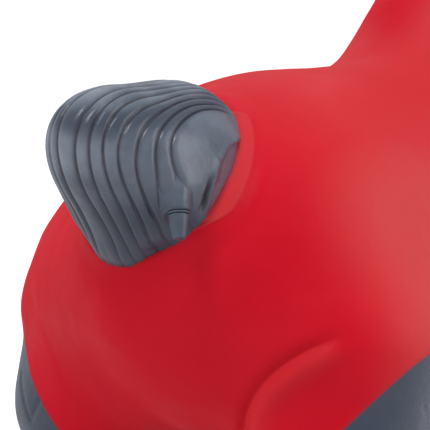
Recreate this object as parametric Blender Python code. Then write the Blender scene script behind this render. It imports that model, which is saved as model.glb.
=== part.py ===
"""An inflatable pony hopper: a plump vinyl body with stub legs, ear grips, a ribbed tail and an air valve.

X runs towards the head, Y towards the animal's left side and Z up. The soles stand on Z = 0, and the finished
pony is centred on the origin in plan. The skin holds nothing but air, so each of its zones is a closed solid.
"""

import math
from dataclasses import dataclass

import bpy
import numpy as np
from mathutils import Vector

MM = 0.001

# Clearances
GAP = 0.3 * MM
PLUG_CLEARANCE = 0.3 * MM

# Trunk, from the rump's end to the chest's end, with the clearances between its belly and the floor
BODY_LENGTH = 400 * MM
RUMP_END_X = -213 * MM
RUMP_PLACE = 120 * MM
RUMP_WIDTH = 259 * MM
RUMP_DEPTH = 247 * MM
RUMP_CLEARANCE = 20 * MM
RUMP_ROUNDING = 170 * MM
WAIST_PLACE = 232 * MM
WAIST_WIDTH = 219 * MM
WAIST_DEPTH = 229 * MM
WAIST_CLEARANCE = 29.5 * MM
CHEST_PLACE = 320 * MM
CHEST_WIDTH = 220 * MM
CHEST_DEPTH = 216 * MM
CHEST_CLEARANCE = 44 * MM
CHEST_ROUNDING = 172 * MM
RUMP_MIDDLE = RUMP_CLEARANCE + RUMP_DEPTH / 2
WAIST_MIDDLE = WAIST_CLEARANCE + WAIST_DEPTH / 2
CHEST_MIDDLE = CHEST_CLEARANCE + CHEST_DEPTH / 2

# Neck, along its own axis from a root inside the trunk
NECK_ROOT_SETBACK = 91 * MM
NECK_ROOT_RISE = 38 * MM
NECK_LENGTH = 232 * MM
NECK_LEAN = math.radians(32)
NECK_ROOT_WIDTH = 176 * MM
NECK_ROOT_DEPTH = 171 * MM
NECK_MIDDLE_PLACE = 97 * MM
NECK_MIDDLE_WIDTH = 128 * MM
NECK_MIDDLE_DEPTH = 127 * MM
NECK_UPPER_PLACE = 180 * MM
NECK_UPPER_WIDTH = 108 * MM
NECK_UPPER_DEPTH = 120 * MM
NECK_TOP_WIDTH = 104 * MM
NECK_TOP_DEPTH = 116 * MM
NECK_ROOT_ROUNDING = 80 * MM
NECK_TOP_ROUNDING = 54 * MM

# Head, along its own axis from the back of the skull to the muzzle
HEAD_LENGTH = 208 * MM
HEAD_DROOP = math.radians(38)
HEAD_OVERHANG = 44 * MM
HEAD_RISE = 46 * MM
SKULL_WIDTH = 104 * MM
SKULL_DEPTH = 106 * MM
BROW_PLACE = 66 * MM
BROW_WIDTH = 130 * MM
BROW_DEPTH = 134 * MM
NOSE_PLACE = 132 * MM
NOSE_WIDTH = 100 * MM
NOSE_DEPTH = 102 * MM
MUZZLE_PLACE = 174 * MM
MUZZLE_WIDTH = 104 * MM
MUZZLE_DEPTH = 96 * MM
CHIN_WIDTH = 92 * MM
CHIN_DEPTH = 84 * MM
SKULL_ROUNDING = 64 * MM
MUZZLE_ROUNDING = 52 * MM

# Ears, which serve as hand grips
EAR_LENGTH = 96 * MM
EAR_PLACE = 44 * MM
EAR_SPREAD = 36 * MM
EAR_SINK = 26 * MM
EAR_SPLAY = math.radians(24)
EAR_TILT = math.radians(6)
EAR_WIDTH = 48 * MM
EAR_THICKNESS = 38 * MM
EAR_ROOT_WIDTH = 40 * MM
EAR_ROOT_THICKNESS = 36 * MM
EAR_TIP_WIDTH = 34 * MM
EAR_TIP_THICKNESS = 28 * MM
EAR_BELLY_PLACE = 48 * MM
EAR_ROOT_ROUNDING = 20 * MM
EAR_TIP_ROUNDING = 30 * MM

# Mane on the nape, and the forelock between the ears
MANE_START = 122 * MM
MANE_OVERRUN = 16 * MM
MANE_WIDTH = 46 * MM
MANE_TIP_WIDTH = 22 * MM
MANE_DEPTH = 50 * MM
MANE_TIP_DEPTH = 30 * MM
MANE_LIFT = 8 * MM
MANE_ROUNDING = 40 * MM
FORELOCK_LENGTH = 70 * MM
FORELOCK_WIDTH = 46 * MM
FORELOCK_TIP_WIDTH = 16 * MM
FORELOCK_DEPTH = 30 * MM
FORELOCK_TIP_DEPTH = 14 * MM
FORELOCK_START = 44 * MM
FORELOCK_ROUNDING = 22 * MM
FORELOCK_TIP_ROUNDING = 28 * MM

# Tail lobe, along its own axis from a root inside the rump
TAIL_LENGTH = 143 * MM
TAIL_PITCH = math.radians(30.25)
TAIL_ROOT_INSET = 87 * MM
TAIL_ROOT_RISE = 46 * MM
TAIL_ROOT_WIDTH = 68 * MM
TAIL_ROOT_DEPTH = 108 * MM
TAIL_BELLY_PLACE = 54 * MM
TAIL_BELLY_WIDTH = 107.5 * MM
TAIL_BELLY_DEPTH = 121.5 * MM
TAIL_END_PLACE = 108 * MM
TAIL_END_WIDTH = 105 * MM
TAIL_END_DEPTH = 98 * MM
TAIL_ROOT_ROUNDING = 34 * MM
TAIL_ROUNDING = 94.5 * MM
RIB_PITCH = 7.8 * MM
RIB_DEPTH = 1.6 * MM
RIBBED_SHARE = 0.84
WELT_THICKNESS = 17 * MM

# Legs, along their own axes from hip or shoulder to below the floor, with slanting upper edges to the socks
HIP_SETBACK = 128 * MM
HIP_INSET = 58.5 * MM
HIP_RISE = 43 * MM
HIND_SETBACK = 71.5 * MM
HIND_INSET = 21.5 * MM
HIP_SIZE = 120 * MM
THIGH_SIZE = 143 * MM
HIND_SHANK_SIZE = 120 * MM
HIND_FOOT_SIZE = 114 * MM
SHOULDER_SETBACK = 102 * MM
SHOULDER_INSET = 52 * MM
SHOULDER_RISE = 20 * MM
FORE_SETBACK = 50 * MM
FORE_INSET = 12 * MM
SHOULDER_SIZE = 112 * MM
FOREARM_SIZE = 124 * MM
FORE_SHANK_SIZE = 108 * MM
FORE_FOOT_SIZE = 92 * MM
LEG_UNDERCUT = 16 * MM
THIGH_PLACE = 0.35
SHANK_PLACE = 0.60
FOOT_PLACE = 0.80
LEG_ROUNDINGS = (0.40, 0.36)
SOCK_PLACE = 0.62
SOCK_FORWARD_SLANT = 0.24
SOCK_OUTWARD_SLANT = 0.88

# Air valve on the tail's right flank
VALVE_PLACE = 84 * MM
VALVE_ANGLE = math.radians(160)
VALVE_OUTWARD = 0.42
VALVE_BACKWARD = 0.38
BOSS_DIAMETER = 16 * MM
VALVE_REACH = 9 * MM
BOSS_HEIGHT = 9 * MM
BOSS_ROOT_DIAMETER = 11.6 * MM
BOSS_LIP = 0.7 * MM
SLEEVE_DIAMETER = 9.6 * MM
SLEEVE_BORE = 6.2 * MM
SLEEVE_LENGTH = 13 * MM
SLEEVE_FLANGE_DIAMETER = 13.6 * MM
SLEEVE_FLANGE = 1.2 * MM
NUB_DIAMETER = 12.6 * MM
NUB_TIP_DIAMETER = 7.6 * MM
NUB_LENGTH = 14.4 * MM
NUB_ROUNDING = 1.4 * MM
SHANK_LENGTH = 11 * MM
SHANK_TAPER = 2.2 * MM
SHANK_TIP_DIAMETER = 4.8 * MM

# Facets
TRUNK_FACETS = (40, 20)
LIMB_FACETS = (24, 12)
SMALL_FACETS = (18, 9)
ROUND_FACETS = 24
TAIL_FACETS = 28
WELT_FACETS = 12
DOME_RINGS = (0.45, 0.75, 0.93)
HALVINGS = 40

# Colours and finish
RED_VINYL = (0.58, 0.012, 0.020, 1.0)
GREY_PAINT = (0.105, 0.125, 0.155, 1.0)
SATIN_ROUGHNESS = 0.4


def smooth_curve(points, places):
    """Values at the places of a smooth curve through (place, value) points that never overshoots them."""
    x, y = (np.array(column, float) for column in zip(*points))
    rise = np.diff(y) / np.diff(x)
    slope = np.concatenate([rise[:1], np.zeros(len(x) - 2), rise[-1:]])
    for i in range(1, len(x) - 1):
        if rise[i - 1] * rise[i] > 0:
            slope[i] = 2 * rise[i - 1] * rise[i] / (rise[i - 1] + rise[i])
    places = np.clip(places, x[0], x[-1])
    i = np.clip(np.searchsorted(x, places) - 1, 0, len(x) - 2)
    step = x[i + 1] - x[i]
    s = (places - x[i]) / step
    return (
        (2 * s**3 - 3 * s**2 + 1) * y[i]
        + (s**3 - 2 * s**2 + s) * step * slope[i]
        + (3 * s**2 - 2 * s**3) * y[i + 1]
        + (s**3 - s**2) * step * slope[i + 1]
    )


@dataclass(frozen=True)
class Form:
    """A swelling body: oval sections along a straight axis, closed by a rounded end at each side.

    Each section is (place along the axis, width, depth, shift), with the shift from the axis along the depth.
    The width lies along across, and the depth at right angles to it and to the axis.
    """

    start: Vector
    axis: Vector
    length: float
    across: Vector
    sections: tuple
    roundings: tuple

    @property
    def deep(self):
        return self.axis.cross(self.across)

    def sizes(self, place):
        """Half width, half depth and shift at a place along the axis."""
        rows = np.array(self.sections)
        width, depth, shift = (
            smooth_curve(list(zip(rows[:, 0], rows[:, column])), np.atleast_1d(place)) for column in (1, 2, 3)
        )
        return width / 2, depth / 2, shift

    def ending(self, place):
        """How far into a rounded end a place lies: 0 before it and 1 at the tip."""
        first, last = self.roundings
        into_first = (first - place) / first
        into_last = (place - (self.length - last)) / last
        return np.maximum(0, np.maximum(into_first, into_last))

    def at(self, place, angle, grown=0.0):
        """The surface point at a place along the axis and an angle round it, from across towards deep."""
        half_width, half_depth, shift = (float(value[0]) for value in self.sizes(place))
        drawn = math.sqrt(max(0.0, 1 - float(self.ending(place)) ** 2))
        width = (half_width + grown) * drawn * math.cos(angle)
        depth = (half_depth + grown) * drawn * math.sin(angle) + shift
        return self.start + self.axis * place + self.across * width + self.deep * depth

    def inside(self, points):
        """Which of the points, an array of rows, lie inside the form."""
        offset = points - np.array(self.start)
        place = offset @ np.array(self.axis)
        half_width, half_depth, shift = self.sizes(place)
        width = offset @ np.array(self.across) / half_width
        depth = (offset @ np.array(self.deep) - shift) / half_depth
        return width**2 + depth**2 + self.ending(place) ** 2 < 1

    def places(self, rings):
        """Ring places, closer together in the rounded ends."""
        first, last = self.roundings
        end_rings = max(3, rings // 3)
        turn = np.linspace(0, math.pi / 2, end_rings + 1)[1:]
        middle = np.linspace(first, self.length - last, max(2, rings - 2 * end_rings) + 1)
        drawn = 1 - np.cos(turn)
        return np.concatenate([first * drawn, middle[1:-1], self.length - last * drawn[::-1]])

    def mesh(self, facets, grown=0.0):
        """Vertices and faces of the form, or of the form grown outwards by a distance."""
        sides, rings = facets
        stretch = (self.length + 2 * grown) / self.length
        vertices = [self.start - self.axis * grown]
        for place in self.places(rings):
            lengthening = self.axis * (place * stretch - grown - place)
            turns = (math.tau * side / sides for side in range(sides))
            vertices += [self.at(place, turn, grown) + lengthening for turn in turns]
        vertices.append(self.start + self.axis * (self.length + grown))
        return vertices, ring_faces(sides, (len(vertices) - 2) // sides)

    def mirrored(self):
        """The same form on the animal's other side."""
        def flip(v):
            return Vector((v.x, -v.y, v.z))

        sections = tuple((place, width, depth, -shift) for place, width, depth, shift in self.sections)
        start, axis, across = (flip(v) for v in (self.start, self.axis, self.across))
        return Form(start, axis, self.length, across, sections, self.roundings)


def ring_faces(sides, rings):
    """Triangles over rings of vertices between two poles, which are the first and the last vertex."""
    last = sides * rings + 1
    faces = []
    for side in range(sides):
        beside = (side + 1) % sides
        faces.append((0, 1 + beside, 1 + side))
        for ring in range(rings - 1):
            low = 1 + ring * sides
            faces.append((low + side, low + beside, low + sides + beside))
            faces.append((low + side, low + sides + beside, low + sides + side))
        high = 1 + (rings - 1) * sides
        faces.append((high + side, high + beside, last))
    return faces


def leaning(angle, towards=1):
    """A direction in the animal's middle plane, at an angle from straight up."""
    return Vector((towards * math.sin(angle), 0, math.cos(angle)))


ACROSS = Vector((0, 1, 0))


def trunk_form():
    sections = (
        (0, RUMP_WIDTH, RUMP_DEPTH, 0),
        (RUMP_PLACE, RUMP_WIDTH, RUMP_DEPTH, 0),
        (WAIST_PLACE, WAIST_WIDTH, WAIST_DEPTH, WAIST_MIDDLE - RUMP_MIDDLE),
        (CHEST_PLACE, CHEST_WIDTH, CHEST_DEPTH, CHEST_MIDDLE - RUMP_MIDDLE),
        (BODY_LENGTH, CHEST_WIDTH, CHEST_DEPTH, CHEST_MIDDLE - RUMP_MIDDLE),
    )
    start = Vector((RUMP_END_X, 0, RUMP_MIDDLE))
    return Form(start, Vector((1, 0, 0)), BODY_LENGTH, ACROSS, sections, (RUMP_ROUNDING, CHEST_ROUNDING))


def neck_form():
    sections = (
        (0, NECK_ROOT_WIDTH, NECK_ROOT_DEPTH, 0),
        (NECK_MIDDLE_PLACE, NECK_MIDDLE_WIDTH, NECK_MIDDLE_DEPTH, 0),
        (NECK_UPPER_PLACE, NECK_UPPER_WIDTH, NECK_UPPER_DEPTH, 0),
        (NECK_LENGTH, NECK_TOP_WIDTH, NECK_TOP_DEPTH, 0),
    )
    start = Vector((RUMP_END_X + BODY_LENGTH - NECK_ROOT_SETBACK, 0, CHEST_MIDDLE + NECK_ROOT_RISE))
    roundings = (NECK_ROOT_ROUNDING, NECK_TOP_ROUNDING)
    return Form(start, leaning(NECK_LEAN), NECK_LENGTH, ACROSS, sections, roundings)


def head_form(neck):
    sections = (
        (0, SKULL_WIDTH, SKULL_DEPTH, 0),
        (BROW_PLACE, BROW_WIDTH, BROW_DEPTH, 0),
        (NOSE_PLACE, NOSE_WIDTH, NOSE_DEPTH, 0),
        (MUZZLE_PLACE, MUZZLE_WIDTH, MUZZLE_DEPTH, 0),
        (HEAD_LENGTH, CHIN_WIDTH, CHIN_DEPTH, 0),
    )
    neck_top = neck.start + neck.axis * neck.length
    start = neck_top + Vector((-HEAD_OVERHANG, 0, HEAD_RISE))
    axis = leaning(math.pi / 2 + HEAD_DROOP)
    return Form(start, axis, HEAD_LENGTH, ACROSS, sections, (SKULL_ROUNDING, MUZZLE_ROUNDING))


def ear_form(head):
    """The left ear, rising from the side of the brow."""
    sections = (
        (0, EAR_ROOT_WIDTH, EAR_ROOT_THICKNESS, 0),
        (EAR_BELLY_PLACE, EAR_WIDTH, EAR_THICKNESS, 0),
        (EAR_LENGTH, EAR_TIP_WIDTH, EAR_TIP_THICKNESS, 0),
    )
    half_width = BROW_WIDTH / 2
    crown = head.at(EAR_PLACE, math.acos(EAR_SPREAD / half_width))
    axis = Vector((-math.sin(EAR_TILT), math.sin(EAR_SPLAY), math.cos(EAR_SPLAY))).normalized()
    across = Vector((1, 0, 0))
    across = (across - axis * across.dot(axis)).normalized()
    root = crown - axis * EAR_SINK
    return Form(root, axis, EAR_LENGTH, across, sections, (EAR_ROOT_ROUNDING, EAR_TIP_ROUNDING))


def mane_form(neck, head):
    """A crest that sits on the nape from above the withers to the back of the skull."""
    low = neck.at(MANE_START, math.pi / 2)
    high = head.at(SKULL_ROUNDING / 2, math.pi / 2)
    axis = (high - low).normalized()
    length = (high - low).length + MANE_OVERRUN
    sections = (
        (0, MANE_TIP_WIDTH, MANE_TIP_DEPTH, 0),
        (length / 2, MANE_WIDTH, MANE_DEPTH, MANE_LIFT),
        (length, MANE_WIDTH, MANE_DEPTH, MANE_LIFT),
    )
    return Form(low, axis, length, ACROSS, sections, (MANE_ROUNDING, MANE_ROUNDING))


def forelock_form(head):
    """A tuft that lies on the brow, its tip towards the nose."""
    high = head.at(FORELOCK_START, math.pi / 2)
    low = head.at(FORELOCK_START + FORELOCK_LENGTH, math.pi / 2)
    axis = (low - high).normalized()
    sections = (
        (0, FORELOCK_WIDTH, FORELOCK_DEPTH, 0),
        (FORELOCK_LENGTH, FORELOCK_TIP_WIDTH, FORELOCK_TIP_DEPTH, 0),
    )
    roundings = (FORELOCK_ROUNDING, FORELOCK_TIP_ROUNDING)
    return Form(high, axis, FORELOCK_LENGTH, ACROSS, sections, roundings)


def tail_form():
    sections = (
        (0, TAIL_ROOT_WIDTH, TAIL_ROOT_DEPTH, 0),
        (TAIL_BELLY_PLACE, TAIL_BELLY_WIDTH, TAIL_BELLY_DEPTH, 0),
        (TAIL_END_PLACE, TAIL_END_WIDTH, TAIL_END_DEPTH, 0),
        (TAIL_LENGTH, TAIL_END_WIDTH, TAIL_END_DEPTH, 0),
    )
    start = Vector((RUMP_END_X + TAIL_ROOT_INSET, 0, RUMP_MIDDLE + TAIL_ROOT_RISE))
    axis = leaning(math.pi / 2 - TAIL_PITCH, towards=-1)
    return Form(start, axis, TAIL_LENGTH, ACROSS, sections, (TAIL_ROOT_ROUNDING, TAIL_ROUNDING))


def leg_form(top, foot, sizes):
    """A left leg from hip or shoulder to foot; the sizes are those of its top, thigh, shank and foot."""
    length = (foot - top).length
    axis = (foot - top).normalized()
    places = (0, THIGH_PLACE, SHANK_PLACE, FOOT_PLACE, 1)
    sections = tuple((place * length, size, size, 0) for place, size in zip(places, (*sizes, sizes[-1])))
    across = (ACROSS - axis * ACROSS.dot(axis)).normalized()
    return Form(top, axis, length, across, sections, tuple(share * length for share in LEG_ROUNDINGS))


def hind_form():
    side = RUMP_WIDTH / 2
    top = Vector((RUMP_END_X + HIP_SETBACK, side - HIP_INSET, RUMP_MIDDLE + HIP_RISE))
    foot = Vector((RUMP_END_X + HIND_SETBACK, side - HIND_INSET, -LEG_UNDERCUT))
    return leg_form(top, foot, (HIP_SIZE, THIGH_SIZE, HIND_SHANK_SIZE, HIND_FOOT_SIZE))


def fore_form():
    chest_end = RUMP_END_X + BODY_LENGTH
    side = CHEST_WIDTH / 2
    top = Vector((chest_end - SHOULDER_SETBACK, side - SHOULDER_INSET, CHEST_MIDDLE + SHOULDER_RISE))
    foot = Vector((chest_end - FORE_SETBACK, side - FORE_INSET, -LEG_UNDERCUT))
    return leg_form(top, foot, (SHOULDER_SIZE, FOREARM_SIZE, FORE_SHANK_SIZE, FORE_FOOT_SIZE))


def vinyl(name, colour):
    """A satin material in one colour."""
    material = bpy.data.materials.new(name)
    material.use_nodes = True
    shader = material.node_tree.nodes["Principled BSDF"]
    shader.inputs["Base Color"].default_value = colour
    shader.inputs["Roughness"].default_value = SATIN_ROUGHNESS
    shader.inputs["Metallic"].default_value = 0.0
    return material


def frame(name, parent=None, location=(0, 0, 0)):
    """An empty that carries a group of pieces."""
    made = bpy.data.objects.new(name, None)
    made.parent = parent
    made.location = location
    bpy.context.scene.collection.objects.link(made)
    return made


def add_object(name, vertices, faces, root):
    mesh = bpy.data.meshes.new(name)
    mesh.from_pydata([tuple(vertex) for vertex in vertices], [], faces)
    mesh.shade_smooth()
    made = bpy.data.objects.new(name, mesh)
    made.parent = root
    bpy.context.scene.collection.objects.link(made)
    return made


def solid(name, shape, colour, root):
    """A visible piece with its own material."""
    made = add_object(name, *shape, root)
    made.data.materials.append(vinyl(name, colour))
    return made


def cutter(name, shape, root):
    """A hidden shape that only cuts others."""
    made = add_object(name + "_cutter", *shape, root)
    made.hide_render = True
    made.display_type = "WIRE"
    return made


def cut(piece, *cutters):
    """Takes each cutter away from the piece."""
    for other in cutters:
        boolean = piece.modifiers.new(other.name, "BOOLEAN")
        boolean.operation = "DIFFERENCE"
        boolean.solver = "EXACT"
        boolean.object = other


def slab(middle, normal, reach):
    """A square block that lies on the side of a plane to which its normal points."""
    aside = normal.orthogonal().normalized()
    along = normal.cross(aside)
    corners = [aside * a + along * b for a, b in ((-1, -1), (1, -1), (1, 1), (-1, 1))]
    vertices = [middle + corner * reach for corner in corners]
    vertices += [vertex + normal * 2 * reach for vertex in vertices]
    faces = [(3, 2, 1, 0), (4, 5, 6, 7)]
    faces += [(i, (i + 1) % 4, 4 + (i + 1) % 4, 4 + i) for i in range(4)]
    return vertices, faces


def turned(axis, profile):
    """A round piece about an axis through the origin, from the (place, radius) points of its profile."""
    aside = axis.orthogonal().normalized()
    along = axis.cross(aside)
    turns = [math.tau * side / ROUND_FACETS for side in range(ROUND_FACETS)]
    spokes = [aside * math.cos(turn) + along * math.sin(turn) for turn in turns]
    vertices = [axis * profile[0][0]]
    for place, radius in profile:
        vertices += [axis * place + spoke * radius for spoke in spokes]
    vertices.append(axis * profile[-1][0])
    return vertices, ring_faces(ROUND_FACETS, len(profile))


def lobe_shape(tail, groove_depth, grown=0.0):
    """The tail lobe as rings across the animal, in turn crest and groove of a rib, between smooth domes."""
    middle = tail.start + tail.axis * TAIL_BELLY_PLACE
    half_width = max(TAIL_BELLY_WIDTH, TAIL_END_WIDTH) / 2
    ribs = int(2 * half_width * RIBBED_SHARE / RIB_PITCH)
    edge = ribs * RIB_PITCH / 2
    ribbed = [(-edge + RIB_PITCH * step / 2, step % 2 == 0) for step in range(2 * ribs + 1)]
    dome = [edge + (half_width - edge) * share for share in DOME_RINGS]
    rings = [(-y, False) for y in reversed(dome)] + ribbed + [(y, False) for y in dome]
    turns = np.arange(TAIL_FACETS) * math.tau / TAIL_FACETS
    spokes = np.outer(np.cos(turns), np.array(tail.deep)) + np.outer(np.sin(turns), np.array(tail.axis))
    widening = 1 + grown / half_width
    vertices = [middle - ACROSS * half_width * widening]
    for y, groove in rings:
        centre = np.array(middle) + np.array(ACROSS) * y
        near, far = np.zeros(TAIL_FACETS), np.full(TAIL_FACETS, TAIL_LENGTH)
        for _ in range(HALVINGS):
            half = (near + far) / 2
            held = tail.inside(centre + spokes * half[:, None])
            near, far = np.where(held, half, near), np.where(held, far, half)
        reach = near + grown - (groove_depth if groove else 0)
        across = np.array(ACROSS) * y * (widening - 1)
        vertices += [tuple(row) for row in centre + across + spokes * reach[:, None]]
    vertices.append(middle + ACROSS * half_width * widening)
    return vertices, ring_faces(TAIL_FACETS, len(rings))


def welt_shape(tail, trunk):
    """A round cord laid along the line on which the tail comes out of the trunk."""
    turns = [math.tau * side / TAIL_FACETS for side in range(TAIL_FACETS)]
    vertices = []
    for turn in turns:
        near, far = 0.0, TAIL_LENGTH - TAIL_ROUNDING / 2
        for _ in range(HALVINGS):
            half = (near + far) / 2
            held = trunk.inside(np.array([tail.at(half, turn)]))[0]
            near, far = (half, far) if held else (near, half)
        point = tail.at(near, turn)
        outward = (point - tail.start - tail.axis * near).normalized()
        for side in range(WELT_FACETS):
            lean = math.tau * side / WELT_FACETS
            spoke = outward * math.cos(lean) + tail.axis * math.sin(lean)
            vertices.append(point + spoke * WELT_THICKNESS / 2)
    faces = []
    for turn in range(TAIL_FACETS):
        here, there = turn * WELT_FACETS, (turn + 1) % TAIL_FACETS * WELT_FACETS
        for side in range(WELT_FACETS):
            beside = (side + 1) % WELT_FACETS
            faces.append((here + side, there + side, there + beside))
            faces.append((here + side, there + beside, here + beside))
    return vertices, faces


def make_legs(root, trunk_cutter):
    """Four legs, each with its sock and hoof as a piece of its own."""
    floor = cutter("floor", slab(Vector((0, 0, 0)), Vector((0, 0, -1)), BODY_LENGTH), root)
    for end, form, forward in (("hind", hind_form(), 1), ("front", fore_form(), -1)):
        for side, leg in (("left", form), ("right", form.mirrored())):
            outward = 1 if side == "left" else -1
            normal = Vector((forward * SOCK_FORWARD_SLANT, outward * SOCK_OUTWARD_SLANT, -1)).normalized()
            line = leg.start + leg.axis * leg.length * SOCK_PLACE
            name = f"{end}_{side}"
            below = cutter(f"sock_{name}", slab(line - normal * GAP / 2, normal, leg.length), root)
            above = cutter(f"thigh_{name}", slab(line + normal * GAP / 2, -normal, leg.length), root)
            cut(solid(f"leg_{name}", leg.mesh(LIMB_FACETS), RED_VINYL, root), trunk_cutter, below, floor)
            cut(solid(f"hoof_{name}", leg.mesh(LIMB_FACETS), GREY_PAINT, root), trunk_cutter, above, floor)


def make_head(root, trunk_cutter):
    """Neck, head, ears, mane and forelock, each cut by the larger pieces it sits on."""
    neck = neck_form()
    head = head_form(neck)
    ear = ear_form(head)
    neck_cutter = cutter("neck", neck.mesh(LIMB_FACETS, GAP), root)
    head_cutter = cutter("head", head.mesh(LIMB_FACETS, GAP), root)
    cut(solid("neck", neck.mesh(LIMB_FACETS), RED_VINYL, root), trunk_cutter)
    cut(solid("head", head.mesh(LIMB_FACETS), RED_VINYL, root), neck_cutter)
    ear_cutters = []
    for side, form in (("left", ear), ("right", ear.mirrored())):
        cut(solid(f"ear_{side}", form.mesh(SMALL_FACETS), RED_VINYL, root), head_cutter, neck_cutter)
        ear_cutters.append(cutter(f"ear_{side}", form.mesh(SMALL_FACETS, GAP), root))
    mane = mane_form(neck, head)
    mane_cutter = cutter("mane", mane.mesh(SMALL_FACETS, GAP), root)
    crest = solid("mane", mane.mesh(SMALL_FACETS), GREY_PAINT, root)
    cut(crest, neck_cutter, head_cutter, *ear_cutters)
    tuft = solid("forelock", forelock_form(head).mesh(SMALL_FACETS), GREY_PAINT, root)
    cut(tuft, head_cutter, mane_cutter, *ear_cutters)


def make_tail(root, trunk, trunk_cutter):
    """The ribbed tail lobe, the welt round its root and the valve in its flank."""
    tail = tail_form()
    tail_cutter = cutter("tail", lobe_shape(tail, 0, GAP), root)
    cut(solid("tail_welt", welt_shape(tail, trunk), RED_VINYL, root), tail_cutter, trunk_cutter)
    lobe = solid("tail", lobe_shape(tail, RIB_DEPTH), GREY_PAINT, root)
    make_valve(root, tail, tail_cutter, lobe)
    cut(lobe, trunk_cutter)


def make_valve(root, tail, tail_cutter, lobe):
    """A moulded boss on the tail's flank, a sleeve through it and the stopper that plugs the sleeve."""
    axis = Vector((-VALVE_BACKWARD, -VALVE_OUTWARD, -1)).normalized()
    outlet = tail.at(VALVE_PLACE, VALVE_ANGLE) + axis * VALVE_REACH
    valve = frame("valve", root, outlet)
    well = SLEEVE_LENGTH + SHANK_LENGTH
    seat = SLEEVE_DIAMETER / 2 + GAP
    bore = cutter("valve_well", turned(axis, ((-well, seat), (well, seat))), valve)
    boss_profile = (
        (-VALVE_REACH - BOSS_HEIGHT, BOSS_ROOT_DIAMETER / 2),
        (-BOSS_HEIGHT / 2, BOSS_DIAMETER / 2 - BOSS_LIP),
        (-BOSS_LIP * 2, BOSS_DIAMETER / 2),
        (0, BOSS_DIAMETER / 2 - BOSS_LIP),
    )
    boss = solid("valve_boss", turned(axis, boss_profile), GREY_PAINT, valve)
    cut(boss, tail_cutter, bore)
    cut(lobe, bore)
    flange = SLEEVE_FLANGE_DIAMETER / 2
    face = GAP + SLEEVE_FLANGE
    sleeve_profile = (
        (GAP - SLEEVE_LENGTH, SLEEVE_DIAMETER / 2),
        (GAP, SLEEVE_DIAMETER / 2),
        (GAP, flange),
        (face, flange),
    )
    sleeve = solid("valve_sleeve", turned(axis, sleeve_profile), GREY_PAINT, valve)
    passage = turned(axis, ((-well, SLEEVE_BORE / 2), (well, SLEEVE_BORE / 2)))
    cut(sleeve, cutter("valve_passage", passage, valve))
    nub = face + GAP
    shank = SLEEVE_BORE / 2 - PLUG_CLEARANCE
    stopper_profile = (
        (nub - SHANK_LENGTH, SHANK_TIP_DIAMETER / 2),
        (nub - SHANK_LENGTH + SHANK_TAPER, shank),
        (nub, shank),
        (nub, NUB_DIAMETER / 2),
        (nub + NUB_LENGTH - NUB_ROUNDING, NUB_TIP_DIAMETER / 2),
        (nub + NUB_LENGTH, NUB_TIP_DIAMETER / 2 - NUB_ROUNDING),
    )
    solid("valve_stopper", turned(axis, stopper_profile), GREY_PAINT, valve)


def centre_in_plan(root):
    """Moves the whole pony so that its box is centred on the origin along its length."""
    bpy.context.view_layer.update()
    graph = bpy.context.evaluated_depsgraph_get()
    reach = []
    for piece in root.children_recursive:
        if piece.type == "MESH" and not piece.hide_render:
            shaped = piece.evaluated_get(graph)
            reach += [(shaped.matrix_world @ vertex.co).x for vertex in shaped.data.vertices]
    root.location.x -= (min(reach) + max(reach)) / 2


def main():
    for old in list(bpy.data.objects):
        bpy.data.objects.remove(old, do_unlink=True)
    root = frame("hopper")
    trunk = trunk_form()
    solid("trunk", trunk.mesh(TRUNK_FACETS), RED_VINYL, root)
    trunk_cutter = cutter("trunk", trunk.mesh(TRUNK_FACETS, GAP), root)
    make_legs(root, trunk_cutter)
    make_head(root, trunk_cutter)
    make_tail(root, trunk, trunk_cutter)
    centre_in_plan(root)


main()
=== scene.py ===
"""An inflatable pony hopper in soft vinyl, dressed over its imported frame.

Run as a script, it loads the frame, registers the classes below and builds the pony piece by piece. Lengths are in
metres. X runs towards the head, Y towards the animal's left side and Z up, and the soles stand on Z = 0.
"""

import math
from functools import partial, reduce
from itertools import product
from types import SimpleNamespace

import bmesh
import bpy
import numpy as np
from bpy.props import FloatProperty, FloatVectorProperty, IntProperty, PointerProperty
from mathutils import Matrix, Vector


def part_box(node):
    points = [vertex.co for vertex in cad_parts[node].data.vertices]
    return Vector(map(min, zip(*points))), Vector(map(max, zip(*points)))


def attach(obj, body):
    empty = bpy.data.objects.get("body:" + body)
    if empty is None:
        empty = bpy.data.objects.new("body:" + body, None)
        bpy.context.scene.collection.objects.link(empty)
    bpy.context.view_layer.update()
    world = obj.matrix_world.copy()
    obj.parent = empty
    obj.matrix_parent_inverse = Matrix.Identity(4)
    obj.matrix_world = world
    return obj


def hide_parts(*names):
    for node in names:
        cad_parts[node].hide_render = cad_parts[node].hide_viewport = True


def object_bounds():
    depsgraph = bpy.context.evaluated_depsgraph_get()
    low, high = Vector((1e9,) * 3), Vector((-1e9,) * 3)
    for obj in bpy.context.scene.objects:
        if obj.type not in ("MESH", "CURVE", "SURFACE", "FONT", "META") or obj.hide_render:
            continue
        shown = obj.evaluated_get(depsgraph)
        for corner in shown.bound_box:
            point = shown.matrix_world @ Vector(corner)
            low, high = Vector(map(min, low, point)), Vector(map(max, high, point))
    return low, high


bl_info = {
    "name": "Inflatable Pony Hopper",
    "version": (1, 0, 0),
    "blender": (4, 5, 0),
    "location": "3D View > Sidebar > Hopper",
    "description": "Builds a vinyl pony hopper: skin, feet, tail, mane, face, valve and a studio",
    "category": "Add Mesh",
}

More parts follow.
